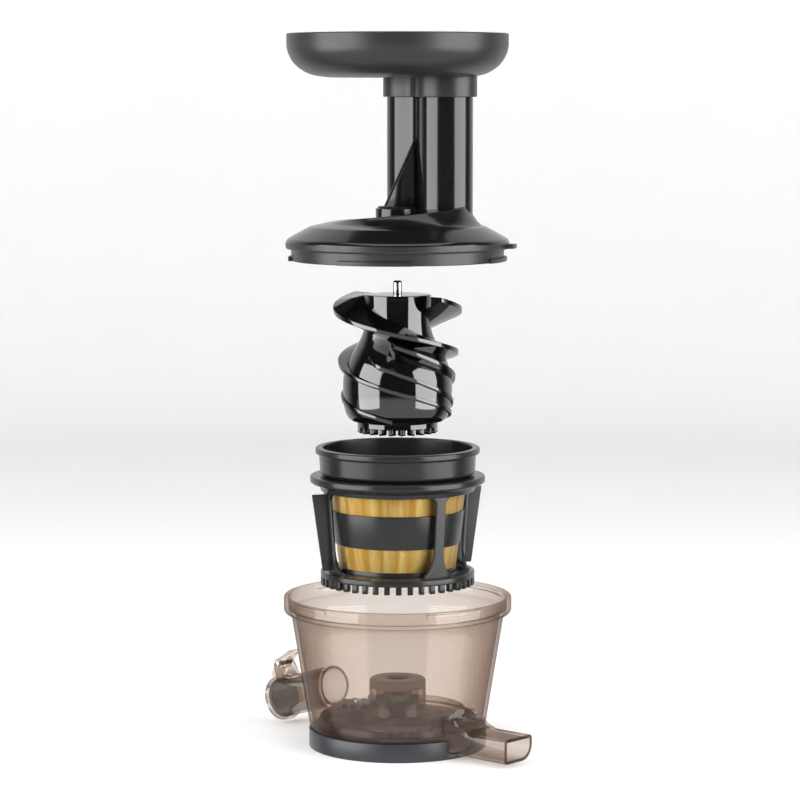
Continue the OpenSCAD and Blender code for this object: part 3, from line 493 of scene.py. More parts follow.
def wall_ends(tree, place):
    """Mask of the bowl's wall ends: the pulp spout's mouth and the ring where the juice
    spout leaves the wall, at the spout's radius from its axis"""
    off = add(tree, "ShaderNodeVectorMath", {"operation": "SUBTRACT"}, {
        0: place, 1: SPOUT_MOUTH})
    across = add(tree, "ShaderNodeVectorMath", {"operation": "CROSS_PRODUCT"}, {
        0: off.outputs[0], 1: SPOUT_AXIS})
    away = add(tree, "ShaderNodeVectorMath", {"operation": "LENGTH"}, {0: across.outputs[0]})
    ring = add(tree, "ShaderNodeMath", {"operation": "COMPARE"}, {
        0: away.outputs["Value"], 1: SPOUT_R, 2: RING_HALF})
    split = add(tree, "ShaderNodeSeparateXYZ", inputs={0: place})
    left = add(tree, "ShaderNodeMath", {"operation": "LESS_THAN"}, {
        0: split.outputs["X"], 1: SPOUT_SIDE})
    start = add(tree, "ShaderNodeMath", {"operation": "MULTIPLY"}, {
        0: ring.outputs[0], 1: left.outputs[0]})
    mouth = add(tree, "ShaderNodeMath", {"operation": "GREATER_THAN"}, {
        0: split.outputs["X"], 1: PULP_END})
    return add(tree, "ShaderNodeMath", {"operation": "MAXIMUM"}, {
        0: start.outputs[0], 1: mouth.outputs[0]})


print("the juice spout falls by", round(math.degrees(math.asin(-SPOUT_AXIS[2]))), "degrees")

# %% Clear plastic
RIPPLE = 60.0  # ripples about 17 mm long
SLANT_POWER, RIM_POWER, SKIM_POWER = 2.2, 12.0, 5.0  # how late each comes on towards edge on


def clear_tint(name, straight, slanted, edge_on, haze_colour, haze, ends=0.0):
    """Clear plastic: tint of a face met straight on, at a slant and edge on, its haze, and
    how dark the ends of the bowl's wall are"""
    material, tree, place = new_material(name)
    flow = add(tree, "ShaderNodeTexNoise", inputs={
        "Vector": place, "Scale": RIPPLE, "Detail": 2.0})
    gloss = add(tree, "ShaderNodeMapRange", inputs={
        "Value": flow.outputs["Fac"], "To Min": 0.03, "To Max": 0.07})
    bump = add(tree, "ShaderNodeBump", inputs={
        "Height": flow.outputs["Fac"], "Strength": 0.05, "Distance": 0.0002})
    slant = add(tree, "ShaderNodeLayerWeight", inputs={"Blend": 0.5})
    deep = add(tree, "ShaderNodeMath", {"operation": "POWER"}, {
        0: slant.outputs["Facing"], 1: SLANT_POWER})
    tint = add(tree, "ShaderNodeMix", {"data_type": "RGBA"}, {
        0: deep.outputs[0], 6: linear(straight), 7: linear(slanted)})
    rim = add(tree, "ShaderNodeMath", {"operation": "POWER"}, {
        0: slant.outputs["Facing"], 1: RIM_POWER})
    edge = add(tree, "ShaderNodeMix", {"data_type": "RGBA"}, {
        0: rim.outputs[0], 6: tint.outputs[2], 7: linear(edge_on)})
    if ends:
        share = add(tree, "ShaderNodeMath", {"operation": "MULTIPLY"}, {
            0: wall_ends(tree, place).outputs[0], 1: ends})
        edge = add(tree, "ShaderNodeMix", {"data_type": "RGBA"}, {
            0: share.outputs[0], 6: edge.outputs[2], 7: linear(edge_on)})
    through = add(tree, "ShaderNodeBsdfTransparent", inputs={"Color": edge.outputs[2]})
    cloud = add(tree, "ShaderNodeBsdfDiffuse", inputs={"Color": linear(haze_colour)})
    body = add(tree, "ShaderNodeMixShader", inputs={
        0: haze, 1: through.outputs[0], 2: cloud.outputs[0]})
    skim = add(tree, "ShaderNodeMath", {"operation": "POWER"}, {
        0: slant.outputs["Facing"], 1: SKIM_POWER})
    shine = add(tree, "ShaderNodeMapRange", inputs={
        "Value": skim.outputs[0], "To Min": 0.03, "To Max": 0.32})
    mirror = add(tree, "ShaderNodeBsdfGlossy", inputs={
        "Color": linear("#ffffff"), "Roughness": gloss.outputs[0], "Normal": bump.outputs[0]})
    skin_mix = add(tree, "ShaderNodeMixShader", inputs={
        0: shine.outputs[0], 1: body.outputs[0], 2: mirror.outputs[0]})
    show(tree, skin_mix.outputs[0])
    return material


SMOKE = ("#f2ede9", "#a88e7e", "#4a3328", "#8a7568", 0.06)
smoke = clear_tint("clear_copolyester_smoke", *SMOKE)
smoke_walls = clear_tint("clear_copolyester_walls", *SMOKE, ends=0.85)
print("clear plastic made")


# %% [markdown]
# ## Copies of the solids
# Where a solid's shape is already right, the piece is a copy of it: the loose triangles are
# merged, the corners get their narrow bevel, and the faces shade smoothly. Drawing it again
# would only risk a gap to the solids round it.

# %% Copy a solid
WELD = 2e-6  # metres; the corners of a solid's loose triangles meet within this


def mark_edges(piece, chosen):
    """Marks the sharp edges to round, those whose middle passes a test"""
    bm = bmesh.new()
    bm.from_mesh(piece.data)
    weight = bm.edges.layers.float.new("bevel_weight_edge")
    for e in bm.edges:
        middle = (e.verts[0].co + e.verts[1].co) / 2
        e[weight] = float(e.calc_face_angle(0) > math.radians(CORNER) and chosen(middle))
    bm.to_mesh(piece.data)
    bm.free()


def copied(name, node, material, body, slot, edge=0.0, corner=CORNER, where=None):
    """Merged copy of a solid, its corners rounded by an edge width, all or those chosen"""
    bm = bmesh.new()
    bm.from_mesh(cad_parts[node].data)
    bmesh.ops.remove_doubles(bm, verts=bm.verts, dist=WELD)
    bmesh.ops.dissolve_degenerate(bm, edges=bm.edges, dist=SAME)
    piece = placed(name, bm)
    if where:
        mark_edges(piece, where)
    soften(piece, edge, corner, limit="WEIGHT" if where else "ANGLE")
    finish_piece(piece, material, body, node)


# %% [markdown]
# ## Repeats about the axis
# Gear teeth, ribs and lugs stand at equal steps round the axis. A small geometry tree turns
# one tooth into the whole ring: points on the axis, one for each tooth, each turned further
# than the last. The result is made real and turned into a plain mesh.


# %% Ring of copies
def ring_tree():
    """Geometry tree: an object repeated round the upright axis"""
    tree = bpy.data.node_groups.new("round_the_axis", "GeometryNodeTree")
    for label, kind in (("Piece", "Object"), ("Count", "Int"), ("First angle", "Float"),
                        ("Finish", "Material")):
        tree.interface.new_socket(label, in_out="INPUT", socket_type="NodeSocket" + kind)
    tree.interface.new_socket("Geometry", in_out="OUTPUT", socket_type="NodeSocketGeometry")
    given = add(tree, "NodeGroupInput")
    line = add(tree, "GeometryNodeMeshLine", inputs={
        "Count": given.outputs["Count"], "Offset": (0.0, 0.0, 0.0)})
    piece = add(tree, "GeometryNodeObjectInfo", inputs={"Object": given.outputs["Piece"]})
    index = add(tree, "GeometryNodeInputIndex")
    step = add(tree, "ShaderNodeMath", {"operation": "DIVIDE"}, {
        0: 2 * math.pi, 1: given.outputs["Count"]})
    angle = add(tree, "ShaderNodeMath", {"operation": "MULTIPLY_ADD"}, {
        0: index.outputs[0], 1: step.outputs[0], 2: given.outputs["First angle"]})
    turn = add(tree, "ShaderNodeCombineXYZ", inputs={"Z": angle.outputs[0]})
    place = add(tree, "GeometryNodeInstanceOnPoints", inputs={
        "Points": line.outputs[0], "Instance": piece.outputs["Geometry"],
        "Rotation": turn.outputs[0]})
    real = add(tree, "GeometryNodeRealizeInstances", inputs={0: place.outputs[0]})
    dress = add(tree, "GeometryNodeSetMaterial", inputs={
        "Geometry": real.outputs[0], "Material": given.outputs["Finish"]})
    add(tree, "NodeGroupOutput", inputs={"Geometry": dress.outputs[0]})
    return tree


ROUND_THE_AXIS = ring_tree()
print("geometry tree with", len(ROUND_THE_AXIS.nodes), "nodes")


# %% Use of the tree
def ring_of(name, one, count, first, finish):
    """Mesh object of count copies of one, the first at an angle in degrees"""
    holder = placed(name, bmesh.new())
    step = holder.modifiers.new("ring", "NODES")
    step.node_group = ROUND_THE_AXIS
    given = {"Piece": one, "Count": count, "First angle": math.radians(first), "Finish": finish}
    for socket in ROUND_THE_AXIS.interface.items_tree:
        if socket.in_out == "INPUT":
            step[socket.identifier] = given[socket.name]
    settle(holder)
    bpy.data.objects.remove(one)
    print(name, "repeats", count)
    return holder


def joined(name, *parts):
    """Several mesh objects as one mesh"""
    bm = bmesh.new()
    for part in parts:
        bm.from_mesh(part.data)
        bpy.data.objects.remove(part)
    return placed(name, bm)


# %% [markdown]
# ## Gear teeth
# The hanging teeth under the auger and the cage are blocks with a slight taper and broken
# corners. All gears share one module, 2.26 mm, so the blocks are alike: half as wide as their
# pitch less some play on the pitch circle, and narrower towards the tip.

# %% One tooth
GEAR_MODULE, PLAY, FLANK = 2.26, 0.7, math.tan(math.radians(22))
HALF_TOOTH = (math.pi * GEAR_MODULE / 2 - PLAY) / 2
TIP_REACH = 1.4  # from the pitch circle


def hanging_tooth(root, tip, root_reach, low, high):
    """Block along +X from the radius of its root, some way from the pitch circle, to that of
    its tip, between two heights"""
    at_root, at_tip = HALF_TOOTH + root_reach * FLANK, HALF_TOOTH - TIP_REACH * FLANK
    plan = [(root, -at_root), (tip, -at_tip), (tip, at_tip), (root, at_root)]
    return soften(raw_mesh("tooth", prism(plan, low, high)), 0.35, 40)


print("tooth", round(2 * HALF_TOOTH, 2), "mm thick")


# %% [markdown]
# ## Hopper tray
# A dish with a rounded floor and an upright wall, and under it a collar that fits over the
# chute. It is one moulding, about 2.4 mm thick. The dish is turned from its outline, the chute's
# opening is cut through its floor, and the collar is a bean-shaped tube.

# %% Bean-shaped section of the chute
CHUTE_MID, CHUTE_HALF, CHUTE_WALL = 31.5, 17.5, 2.3
CHUTE_FROM, CHUTE_SPAN = 37.5, 75.0
CHUTE_TOP, LID_TOP, BOWL_TOP = 208.0, 118.5, 100.0


def arc(middle, r, start, end, steps):
    """Points of an arc round a middle, angles in radians"""
    return [(middle[0] + r * math.cos(a), middle[1] + r * math.sin(a))
            for a in np.linspace(start, end, steps)]


def bean(grow):
    """Outline of the chute's section, grown outwards by some millimetres: two long arcs about
    the lid's axis and a half circle at each end"""
    r = CHUTE_HALF + grow
    a0, a1 = math.radians(CHUTE_FROM), math.radians(CHUTE_FROM + CHUTE_SPAN)
    first, last = [(CHUTE_MID * math.cos(a), CHUTE_MID * math.sin(a)) for a in (a0, a1)]
    outline = arc((0, 0), CHUTE_MID + r, a0, a1, 28)
    outline += arc(last, r, a1, a1 + math.pi, 20)[1:-1]
    outline += arc((0, 0), CHUTE_MID - r, a1, a0, 12)
    return outline + arc(first, r, a0 + math.pi, a0 + 2 * math.pi, 20)[1:-1]


def bean_tube(section, z):
    """Closed section of (outward offset, height) carried round the bean"""
    return skin([[(x, y, h + z) for x, y in bean(grow)] for grow, h in section], wrap=True)


print("the chute's section has", len(bean(0)), "points")

# %% Tray
TRAY_R, TRAY_WALL, TRAY_DEEP = 72.0, 2.4, 28.4
COLLAR_LOW = CHUTE_TOP - 9.5
TRAY_FLOOR = COLLAR_LOW + 12.5
TRAY_TOP = TRAY_FLOOR + TRAY_DEEP
dish = rounded([
    (0, TRAY_FLOOR, 0), (46, TRAY_FLOOR, 70), (58, TRAY_FLOOR + 2.2, 22),
    (67.5, TRAY_FLOOR + 8.6, 20), (TRAY_R, TRAY_FLOOR + 18, 19), (TRAY_R, TRAY_TOP, 1.1),
    (TRAY_R - TRAY_WALL, TRAY_TOP, 1.1), (TRAY_R - TRAY_WALL, TRAY_FLOOR + 19, 16),
    (65.6, TRAY_FLOOR + 10.8, 16), (57, TRAY_FLOOR + 4.8, 18),
    (46, TRAY_FLOOR + TRAY_WALL, 40), (0, TRAY_FLOOR + TRAY_WALL + 0.4, 0)], 8, False)
tray = raw_mesh("hopper_tray_shell", turned(dish, LID_Z))
carve(tray, raw_mesh("opening", prism(bean(-CHUTE_WALL), LID_Z + TRAY_FLOOR - 5,
                                      LID_Z + TRAY_FLOOR + 10)))

# %% Tray's collar
COLLAR_GAP, COLLAR_OUT, COLLAR_IN = 0.15, CHUTE_WALL + 0.3, -CHUTE_WALL + 0.05
boot = rounded([
    (COLLAR_GAP, COLLAR_LOW, 0.5), (COLLAR_OUT, COLLAR_LOW, 0.8),
    (COLLAR_OUT, TRAY_FLOOR + 1.2, 0.4), (COLLAR_IN, TRAY_FLOOR + 1.2, 0.4),
    (COLLAR_IN, CHUTE_TOP + 0.1, 0.3), (COLLAR_GAP, CHUTE_TOP + 0.1, 0.3)], 3)
tray = joined("hopper_tray_piece", tray, raw_mesh("collar", bean_tube(boot, LID_Z)))
finish_piece(soften(tray, 0, 30), satin_abs, "tray", "hopper_tray")

# %% [markdown]
# ## Feed lid
# A low dome with a rolled flange, a skirt that drops into the bowl with bayonet lugs, and the
# tall chute moulded on top. A ramp winds round the top of the dome and rises to the chute's
# foot, and a thin fin braces the chute. The dome and hub are turned, the chute is a bean-shaped
# tube, and the ramp is one section swept round and up. The skirt and the flange's edge come
# satin out of the mould, so they get the tray's finish in a second material slot.

# %% Dome, skirt and hub
LID_R, FLANGE_TOP, SKIRT_R, LEDGE = 73.0, BOWL_TOP + 4.6, 69.5, BOWL_TOP - 8.5
HUB_TOP, HUB_R = LID_TOP + 9.5, 14.3
BUSH_R, BUSH_LOW, BUSH_TOP = 5.55, 111.5, 121.55
above = [
    (0, HUB_TOP - 2, 0), (3.4, HUB_TOP - 2, 0.3), (4.4, HUB_TOP, 0.4), (12.6, HUB_TOP, 0.9),
    (13.1, HUB_TOP - 1.3, 0.4), (HUB_R, HUB_TOP - 1.5, 0.7), (HUB_R, LID_TOP, 0.4),
    (40, LID_TOP, 40), (57.5, LID_TOP - 3.8, 9), (LID_R, FLANGE_TOP + 1.6, 5.5)]
below = [
    (LID_R, BOWL_TOP + 0.3, 4.0), (SKIRT_R, BOWL_TOP + 0.3, 0.3), (SKIRT_R - 0.4, LEDGE + 1, 0.7),
    (SKIRT_R - 2.5, LEDGE + 1, 0.7), (SKIRT_R - 2.5, FLANGE_TOP - 1, 3),
    (56.5, FLANGE_TOP + 6.6, 6), (49.5, FLANGE_TOP + 9.3, 6), (37, LID_TOP - 2.5, 5),
    (8.5, LID_TOP - 2.5, 1), (8, BUSH_LOW, 0.6), (BUSH_R, BUSH_LOW, 0.3),
    (BUSH_R, BUSH_TOP, 0.3), (3.4, BUSH_TOP, 0.2), (0, BUSH_TOP, 0)]
dome = rounded(above + below, 7, False)
lid = raw_mesh("lid_dome", turned(dome, LID_Z))
carve(lid, raw_mesh("opening", prism(bean(-CHUTE_WALL), LID_Z + BOWL_TOP, LID_Z + HUB_TOP + 2)))

# %% Chute and fin
chute = raw_mesh("lid_chute", bean_tube(rounded([
    (0, LID_TOP - 3, 0), (0, CHUTE_TOP, 0.8), (-CHUTE_WALL, CHUTE_TOP, 0.8),
    (-CHUTE_WALL, LID_TOP - 3, 0)]), LID_Z))
FIN_TOP, FIN_T, FIN_WALL = LID_TOP + 56, 3.0, CHUTE_MID - CHUTE_HALF + 1
fin_side = [(-10.5, HUB_TOP - 1), (FIN_WALL, HUB_TOP - 1), (FIN_WALL, FIN_TOP)]
fin = raw_mesh("lid_fin", turn_about_z(plate(fin_side, FIN_T, LID_Z),
                                       CHUTE_FROM + CHUTE_SPAN / 2))
soften(fin, 0.7, 30, 3)

# %% Ramp
SWIRL_FROM, SWIRL_TURN, SWIRL_RISE, SWIRL_STEPS = -122.0, 177.0, 11.5, 120
SWIRL_R, SWIRL_GROWS = 40.0, 7.5  # its edge's radius, and how much that grows on the way
TUCK_FROM, TUCK = 0.9, 40.0  # its last tenth draws in, and ends inside the chute
HOLLOW, HOLLOW_GROWS, HOLLOW_BEND = 7.0, 3.0, 2.2
RAMP_ROOT = 15
DOME_TOP = [q for q in dome[:dome.index(max(dome))] if q[0] > RAMP_ROOT]


def ramp_row(s):
    """Section of the ramp at a share s of its way: flat on top, hollow towards the flange"""
    a = math.radians(SWIRL_FROM + SWIRL_TURN * s)
    edge, rise = SWIRL_R + SWIRL_GROWS * s - TUCK * max(0.0, s - TUCK_FROM), 0.1 + SWIRL_RISE * s
    brow, lip = edge + 0.9, LID_TOP + rise * 0.7
    side = [(RAMP_ROOT, LID_TOP - 1.5)]
    side += rounded([(RAMP_ROOT, LID_TOP + rise * 0.9, 0), (edge, LID_TOP + rise, 1.2),
                     (brow, lip, 0)], closed=False)
    for t in np.linspace(0.12, 1, 9):
        r = brow + (HOLLOW + HOLLOW_GROWS * s) * t
        ground = float(np.interp(r, *zip(*DOME_TOP)))
        side.append((r, ground - 0.1 + (lip - ground) * (1 - t) ** HOLLOW_BEND))
    return swung(side + [(side[-1][0], side[-1][1] - 1.2)], a, LID_Z)


ramp = raw_mesh("lid_ramp", skin([ramp_row(s) for s in np.linspace(0, 1, SWIRL_STEPS)]))

# %% Lugs
LUGS, LUG_AT, LUG_SPAN, LUG_OUT = 4, 29.5, 40, SKIRT_R + 1.9
LUG_LOW, LUG_TOP = LEDGE + 1, LEDGE + 3.8
lug_section = rounded([(SKIRT_R - 1, LUG_LOW, 0), (LUG_OUT, LUG_LOW, 0.5),
                       (LUG_OUT, LUG_TOP, 0.5), (SKIRT_R - 1, LUG_TOP, 0)], 3)
lug = raw_mesh("lug", part_turned(lug_section, -LUG_SPAN / 2, LUG_SPAN, LID_Z))
lugs = ring_of("lid_lugs", lug, LUGS, LUG_AT, lid_abs)

# %% Magnet tab
TAB_AT, TAB_LOW, TAB_H, TAB_OUT, TAB_HALF = 28, BOWL_TOP + 1.2, 3.0, LID_R + 5.4, 5.5
POCKET_AT, POCKET_R, POCKET_H = 75.4, 2.0, 2.2
tab_plan = rounded([(LID_R - 5, -TAB_HALF, 0), (TAB_OUT, -TAB_HALF, 1.6),
                    (TAB_OUT, TAB_HALF, 1.6), (LID_R - 5, TAB_HALF, 0)])
tab = raw_mesh("lid_tab", turn_about_z(
    prism(tab_plan, LID_Z + TAB_LOW, LID_Z + TAB_LOW + TAB_H), TAB_AT))
pocket, faces = turned([
    (0, TAB_LOW - 1), (POCKET_R, TAB_LOW - 1), (POCKET_R, TAB_LOW + POCKET_H),
    (0, TAB_LOW + POCKET_H)], LID_Z, 48)
a = math.radians(TAB_AT)
pocket += POCKET_AT * np.array([math.cos(a), math.sin(a), 0])
carve(tab, raw_mesh("pocket", (pocket, faces)))
soften(tab, 0.4, 40)

# %% Lid in one piece
lid = joined("feed_lid_piece", lid, chute, fin, ramp, lugs, tab)
finish_piece(soften(lid), lid_abs, "lid", "feed_lid")
lid.data.materials.append(satin_abs)
for face in lid.data.polygons:
    x, y, z = face.center
    if z < (LID_Z + FLANGE_TOP) * MM and math.hypot(x, y) > (SKIRT_R - 1) * MM:
        face.material_index = 1

# %% [markdown]
# ## Auger
# The auger is a barrel with two wide wings that start at its top and wind down into thin
# pressing ribs, with two more ribs between them. The barrel is turned from a smooth curve.
# Each rib is one section swept down the barrel: wide at its root, with a rounded edge.

# %% Barrel
AUGER_H, TOP_R, RING_R, FOOT = 90.4, 21.8, 26.3, 3.6
PIN_R, PIN_DEEP, SOCKET_R, SOCKET_TOP, HOLLOW_R, HOLLOW_TOP = 3.05, 22, 11, 43.7, 19.4, 25.7
BARREL = flowing([(8, 30.5), (10, 32.5), (14, 34.4), (20, 35.4), (30, 35.8), (38, 35.2),
                  (46, 32.6), (54, 28.4), (60, 25), (66, 22.6), (74, 21.4), (AUGER_H, TOP_R)])
TIP = flowing([(8, 31.5), (11, 35), (16, 36.4), (26, 37.4), (42, 38.6), (54, 40.2),
               (70, 41.8), (AUGER_H, 42.6)])
shell = [(RING_R - 0.5, FOOT), (RING_R, FOOT + 0.5), (RING_R, 7)]
shell += [(r, h) for h, r in BARREL[:-1]]
shell += rounded([(TOP_R, AUGER_H - 1, 0), (TOP_R, AUGER_H, 0.9), (10, AUGER_H, 0)],
                 closed=False)
shell += [(PIN_R, AUGER_H), (PIN_R, AUGER_H - PIN_DEEP), (0, AUGER_H - PIN_DEEP)]
inside = [(0, SOCKET_TOP), (SOCKET_R, SOCKET_TOP), (SOCKET_R, HOLLOW_TOP),
          (HOLLOW_R, HOLLOW_TOP), (HOLLOW_R, FOOT)]
barrel = raw_mesh("auger_barrel", turned((inside + shell)[::-1], AUGER_Z))

# %% Ribs
RIB_T, RIB_END, BITE = 3.0, 9.6, 2.4  # a rib's root sits 2.4 mm inside the barrel


def rib(start, top, lead, fade):
    """Rib that winds down from an angle and a height, lead in mm a turn, and grows out of the
    barrel over some degrees; a deep rib is thicker at its root"""
    high = top - RIB_T / 2
    turn = (high - RIB_END) / lead * 360
    rows = []
    for s in np.linspace(0, 1, int(turn / 3) + 1):
        h, a = high - (high - RIB_END) * s, math.radians(start + turn * s)
        root = np.interp(h, *zip(*BARREL)) - BITE
        full = np.interp(h, *zip(*TIP))
        share = min(1.0, turn * s / fade) if fade else 1.0
        stub = root + BITE + 0.4
        tip = stub + (full - stub) * (share * share * (3 - 2 * share))
        deep = max(0.0, tip - root - 6)
        under, over = -RIB_T / 2 - 0.45 * deep, min(top - h, RIB_T / 2 + 0.3 * deep)
        side = rounded([(root, under, 0), (root + BITE, under * 0.9 - 0.15, 2),
                        (tip - 0.3, -RIB_T / 2 + 0.1, 0.3), (tip, RIB_T / 2 - 0.1, 0.3),
                        (root + BITE, over * 0.9, 2), (root, over, 0)])
        rows.append(swung(side, a, h + AUGER_Z))
    return skin(rows)


# start in degrees, top in mm, lead and fade of each
WINGS = [(174, AUGER_H, 58, 0), (-6, AUGER_H, 68, 0)]
PRESSING = [(-85.5, 52, 88, 20), (-69, 65.5, 92, 20)]
ribs = raw_mesh("auger_ribs", *[rib(*r) for r in WINGS + PRESSING])

# %% Auger in one piece, and its pin
SUN_TEETH, SUN_ROOT, SUN_REACH, SUN_H = 22, 21.5, 3.4, 4.2
tooth = hanging_tooth(SUN_ROOT, RING_R - 0.1, SUN_REACH, AUGER_Z, AUGER_Z + SUN_H)
sun = ring_of("auger_teeth", tooth, SUN_TEETH, 180 + 180 / SUN_TEETH, black_gloss)
auger = joined("auger_piece", barrel, ribs, sun)
finish_piece(soften(auger, 0, 34), black_gloss, "auger", "auger")
copied("auger_pin_piece", "auger_pin", pin_steel, "pin", "steel")

# %% [markdown]
# ## Strainer
# The strainer is a moulded black frame round a cone of gold-coated mesh: a plain band round the
# middle, a seat plate below and eight ribs behind the mesh. A deep collar with a rolled rim is
# welded to the ribs' upper ends. All of it but the ribs is turned.

# %% Frame
MESH_LOW, MESH_HIGH, BAND_LOW, BAND_HIGH = 12.5, 66.0, 27.6, 49.7
MESH_LOW_R, MESH_HIGH_R, MESH_T, RIB_IN = 38.5, 45.0, 0.6, 1.2


def mesh_r(h):
    """Outer radius of the mesh at a height"""
    return MESH_LOW_R + (MESH_HIGH_R - MESH_LOW_R) * (h - MESH_LOW) / (MESH_HIGH - MESH_LOW)


INNER = MESH_T + RIB_IN
seat = rounded([
    (27.3, 4.5, 0.5), (44.5, 4.5, 0.4), (44.5, 6.0, 0.4), (39.1, 9.0, 0.6),
    (39.1, MESH_LOW, 0.3), (MESH_LOW_R - INNER, MESH_LOW, 0.3), (MESH_LOW_R - INNER, 6.8, 1.5),
    (27.3, 6.8, 0.5)], 3)
band = rounded([
    (mesh_r(BAND_LOW) - INNER, BAND_LOW, 0.3), (mesh_r(BAND_LOW) + 1.2, BAND_LOW, 0.6),
    (mesh_r(BAND_HIGH) + 1.2, BAND_HIGH, 0.6), (mesh_r(BAND_HIGH) - INNER, BAND_HIGH, 0.3)])
foot_ring = raw_mesh("strainer_seat", turned(seat, STRAINER_Z))
HOLE_IN, HOLE_OUT, HOLE_SPAN = 30, 40, 40
carve(foot_ring, raw_mesh("pulp_hole", part_turned(
    [(HOLE_IN, 3), (HOLE_OUT, 3), (HOLE_OUT, 8), (HOLE_IN, 8)], -HOLE_SPAN / 2, HOLE_SPAN,
    STRAINER_Z)))
middle = raw_mesh("strainer_band", turned(band, STRAINER_Z))

# %% Ribs behind the mesh
BACK_RIBS, BACK_RIB_T, BACK_RIB_LOW, BACK, FACE = 8, 3.0, 12.0, 1.55, 0.65
rib_side = [(mesh_r(h) - off, h) for h, off in (
    (BACK_RIB_LOW, BACK), (BACK_RIB_LOW, FACE), (MESH_HIGH, FACE), (MESH_HIGH, BACK))]
rib_one = raw_mesh("rib", plate(rib_side, BACK_RIB_T, STRAINER_Z))
ribs = ring_of("strainer_ribs", rib_one, BACK_RIBS, 0, frame_gloss)
strainer = joined("strainer_frame_piece", foot_ring, middle, ribs)
finish_piece(soften(strainer), frame_gloss, "strainer", "strainer_frame")

# %% Collar
collar = rounded([
    (43.2, MESH_HIGH, 0.3), (46.2, MESH_HIGH, 0.5), (46.8, 71.6, 1.2), (50.9, 73.8, 2.2),
    (51.5, 85.8, 0.8), (54, 86.6, 0.9), (54, 90.4, 1.3), (49.1, 90.4, 1.0), (49.1, 75.3, 2.0),
    (45.2, 72, 1.5), (43.2, 69, 0.6)], 5)
strainer_rim = raw_mesh("strainer_collar_piece", turned(collar, STRAINER_Z))
finish_piece(soften(strainer_rim), frame_gloss, "strainer", "strainer_collar")


# %% Mesh cones
def mesh_cone(name, low, high, node):
    """Thin cone of mesh between two heights"""
    rows = 24
    outline = [(mesh_r(h), h) for h in np.linspace(low, high, rows)]
    outline += [(mesh_r(h) - MESH_T, h) for h in np.linspace(high, low, rows)]
    cone = raw_mesh(name, turned(outline, STRAINER_Z, steps=256))
    finish_piece(soften(cone, 0, 40), gold_mesh, "strainer", node)


mesh_cone("mesh_cone_lower", MESH_LOW, BAND_LOW, "strainer_mesh_lower")
mesh_cone("mesh_cone_upper", BAND_HIGH, MESH_HIGH, "strainer_mesh_upper")

# %% [markdown]
# ## Wiping cage
# The cage turns round the strainer on a ring of hanging teeth. Four posts with flared feet join
# that ring to the flange above. Posts are swept upwards as a curved panel, so that they follow
# the cone, and the teeth are repeated by the geometry tree.

# %% Rings
CAGE_R, FLANGE_R, FLANGE_LOW, FLANGE_HIGH = 50.7, 57.5, 62, 72
foot = rounded([(45.1, 5, 0.3), (CAGE_R, 5, 0.7), (CAGE_R, 9.0, 1.0), (46.0, 9.6, 0.6),
                (43.3, 10, 0.3), (43.3, 7, 0.3), (45.1, 7, 0.2)], 3)
head = rounded([(47.1, FLANGE_LOW, 0.5), (50.4, FLANGE_LOW, 0.5), (51.5, 65, 1.2),
                (56.2, 66.9, 1.2), (FLANGE_R, 68, 1.2), (FLANGE_R, FLANGE_HIGH, 1.6),
                (47.1, FLANGE_HIGH, 0.5)])
cage_rings = raw_mesh("cage_rings", turned(foot, STRAINER_Z), turned(head, STRAINER_Z))

# %% Width and place of the posts
POSTS = (-116, -13, 64, 167)
POST_LOW, POST_LOW_R, POST_HIGH, POST_HIGH_R, POST_T = 9, 46.3, 62, 50, 2.6
POST_HALF, FOOT_FLARE, FOOT_H, HEAD_FLARE, HEAD_H, FLARE_BEND = 3.5, 8.5, 16, 4, 5, 2.2
POST_ROWS = [8.2, *np.linspace(9, 25, 22), *np.linspace(28, 56, 6), *np.linspace(57, 62.8, 10)]


def cage_r(h):
    """Outer radius of the posts at a height"""
    return POST_LOW_R + (POST_HIGH_R - POST_LOW_R) * (h - POST_LOW) / (POST_HIGH - POST_LOW)


def post_half(h):
    """Half the width of a post at a height: flared at its foot and its head"""
    h = max(POST_LOW, min(POST_HIGH, h))
    low = max(0.0, 1 - (h - POST_LOW) / FOOT_H)
    high = max(0.0, 1 - (POST_HIGH - h) / HEAD_H)
    return POST_HALF + FOOT_FLARE * low ** FLARE_BEND + HEAD_FLARE * high ** FLARE_BEND


print("a post's foot is", 2 * post_half(POST_LOW), "mm wide")


# %% Posts and teeth
def post(at):
    """Curved panel that follows the cage's cone"""
    turn, rows = math.radians(at), []
    for h in POST_ROWS:
        outer = cage_r(h)
        span = post_half(h) / outer
        side = [(outer, t) for t in np.linspace(span, -span, 9)]
        side += [(outer - POST_T, t) for t in np.linspace(-span, span, 9)]
        rows.append([(r * math.cos(t + turn), r * math.sin(t + turn), h + STRAINER_Z)
                     for r, t in side])
    return skin(rows)


posts = raw_mesh("cage_posts", *[post(a) for a in POSTS])
soften(posts, 0.55, 50, 3)
RING_TEETH, TEETH_TIP, TEETH_REACH, TEETH_H = 42, 46.06, 1.4, 5.6
tooth = hanging_tooth(CAGE_R - 0.1, TEETH_TIP, TEETH_REACH, STRAINER_Z, STRAINER_Z + TEETH_H)
teeth = ring_of("cage_teeth", tooth, RING_TEETH, 180 + 180 / RING_TEETH, frame_gloss)
cage = joined("brush_cage_piece", cage_rings, posts, teeth)
finish_piece(soften(cage, 0, 34), frame_gloss, "brush", "brush_cage")

# %% Wiper blades
BLADE_T, NEAR_MESH = 1.6, 1.7


def wipers(name, node, places, side, edge):
    """Flat blades that stand in some of the posts, from their side outline"""
    blades = [turn_about_z(plate(side, BLADE_T, STRAINER_Z), POSTS[i]) for i in places]
    finish_piece(soften(raw_mesh(name, *blades), edge, 40), blade_rubber, "brush",
                 node)


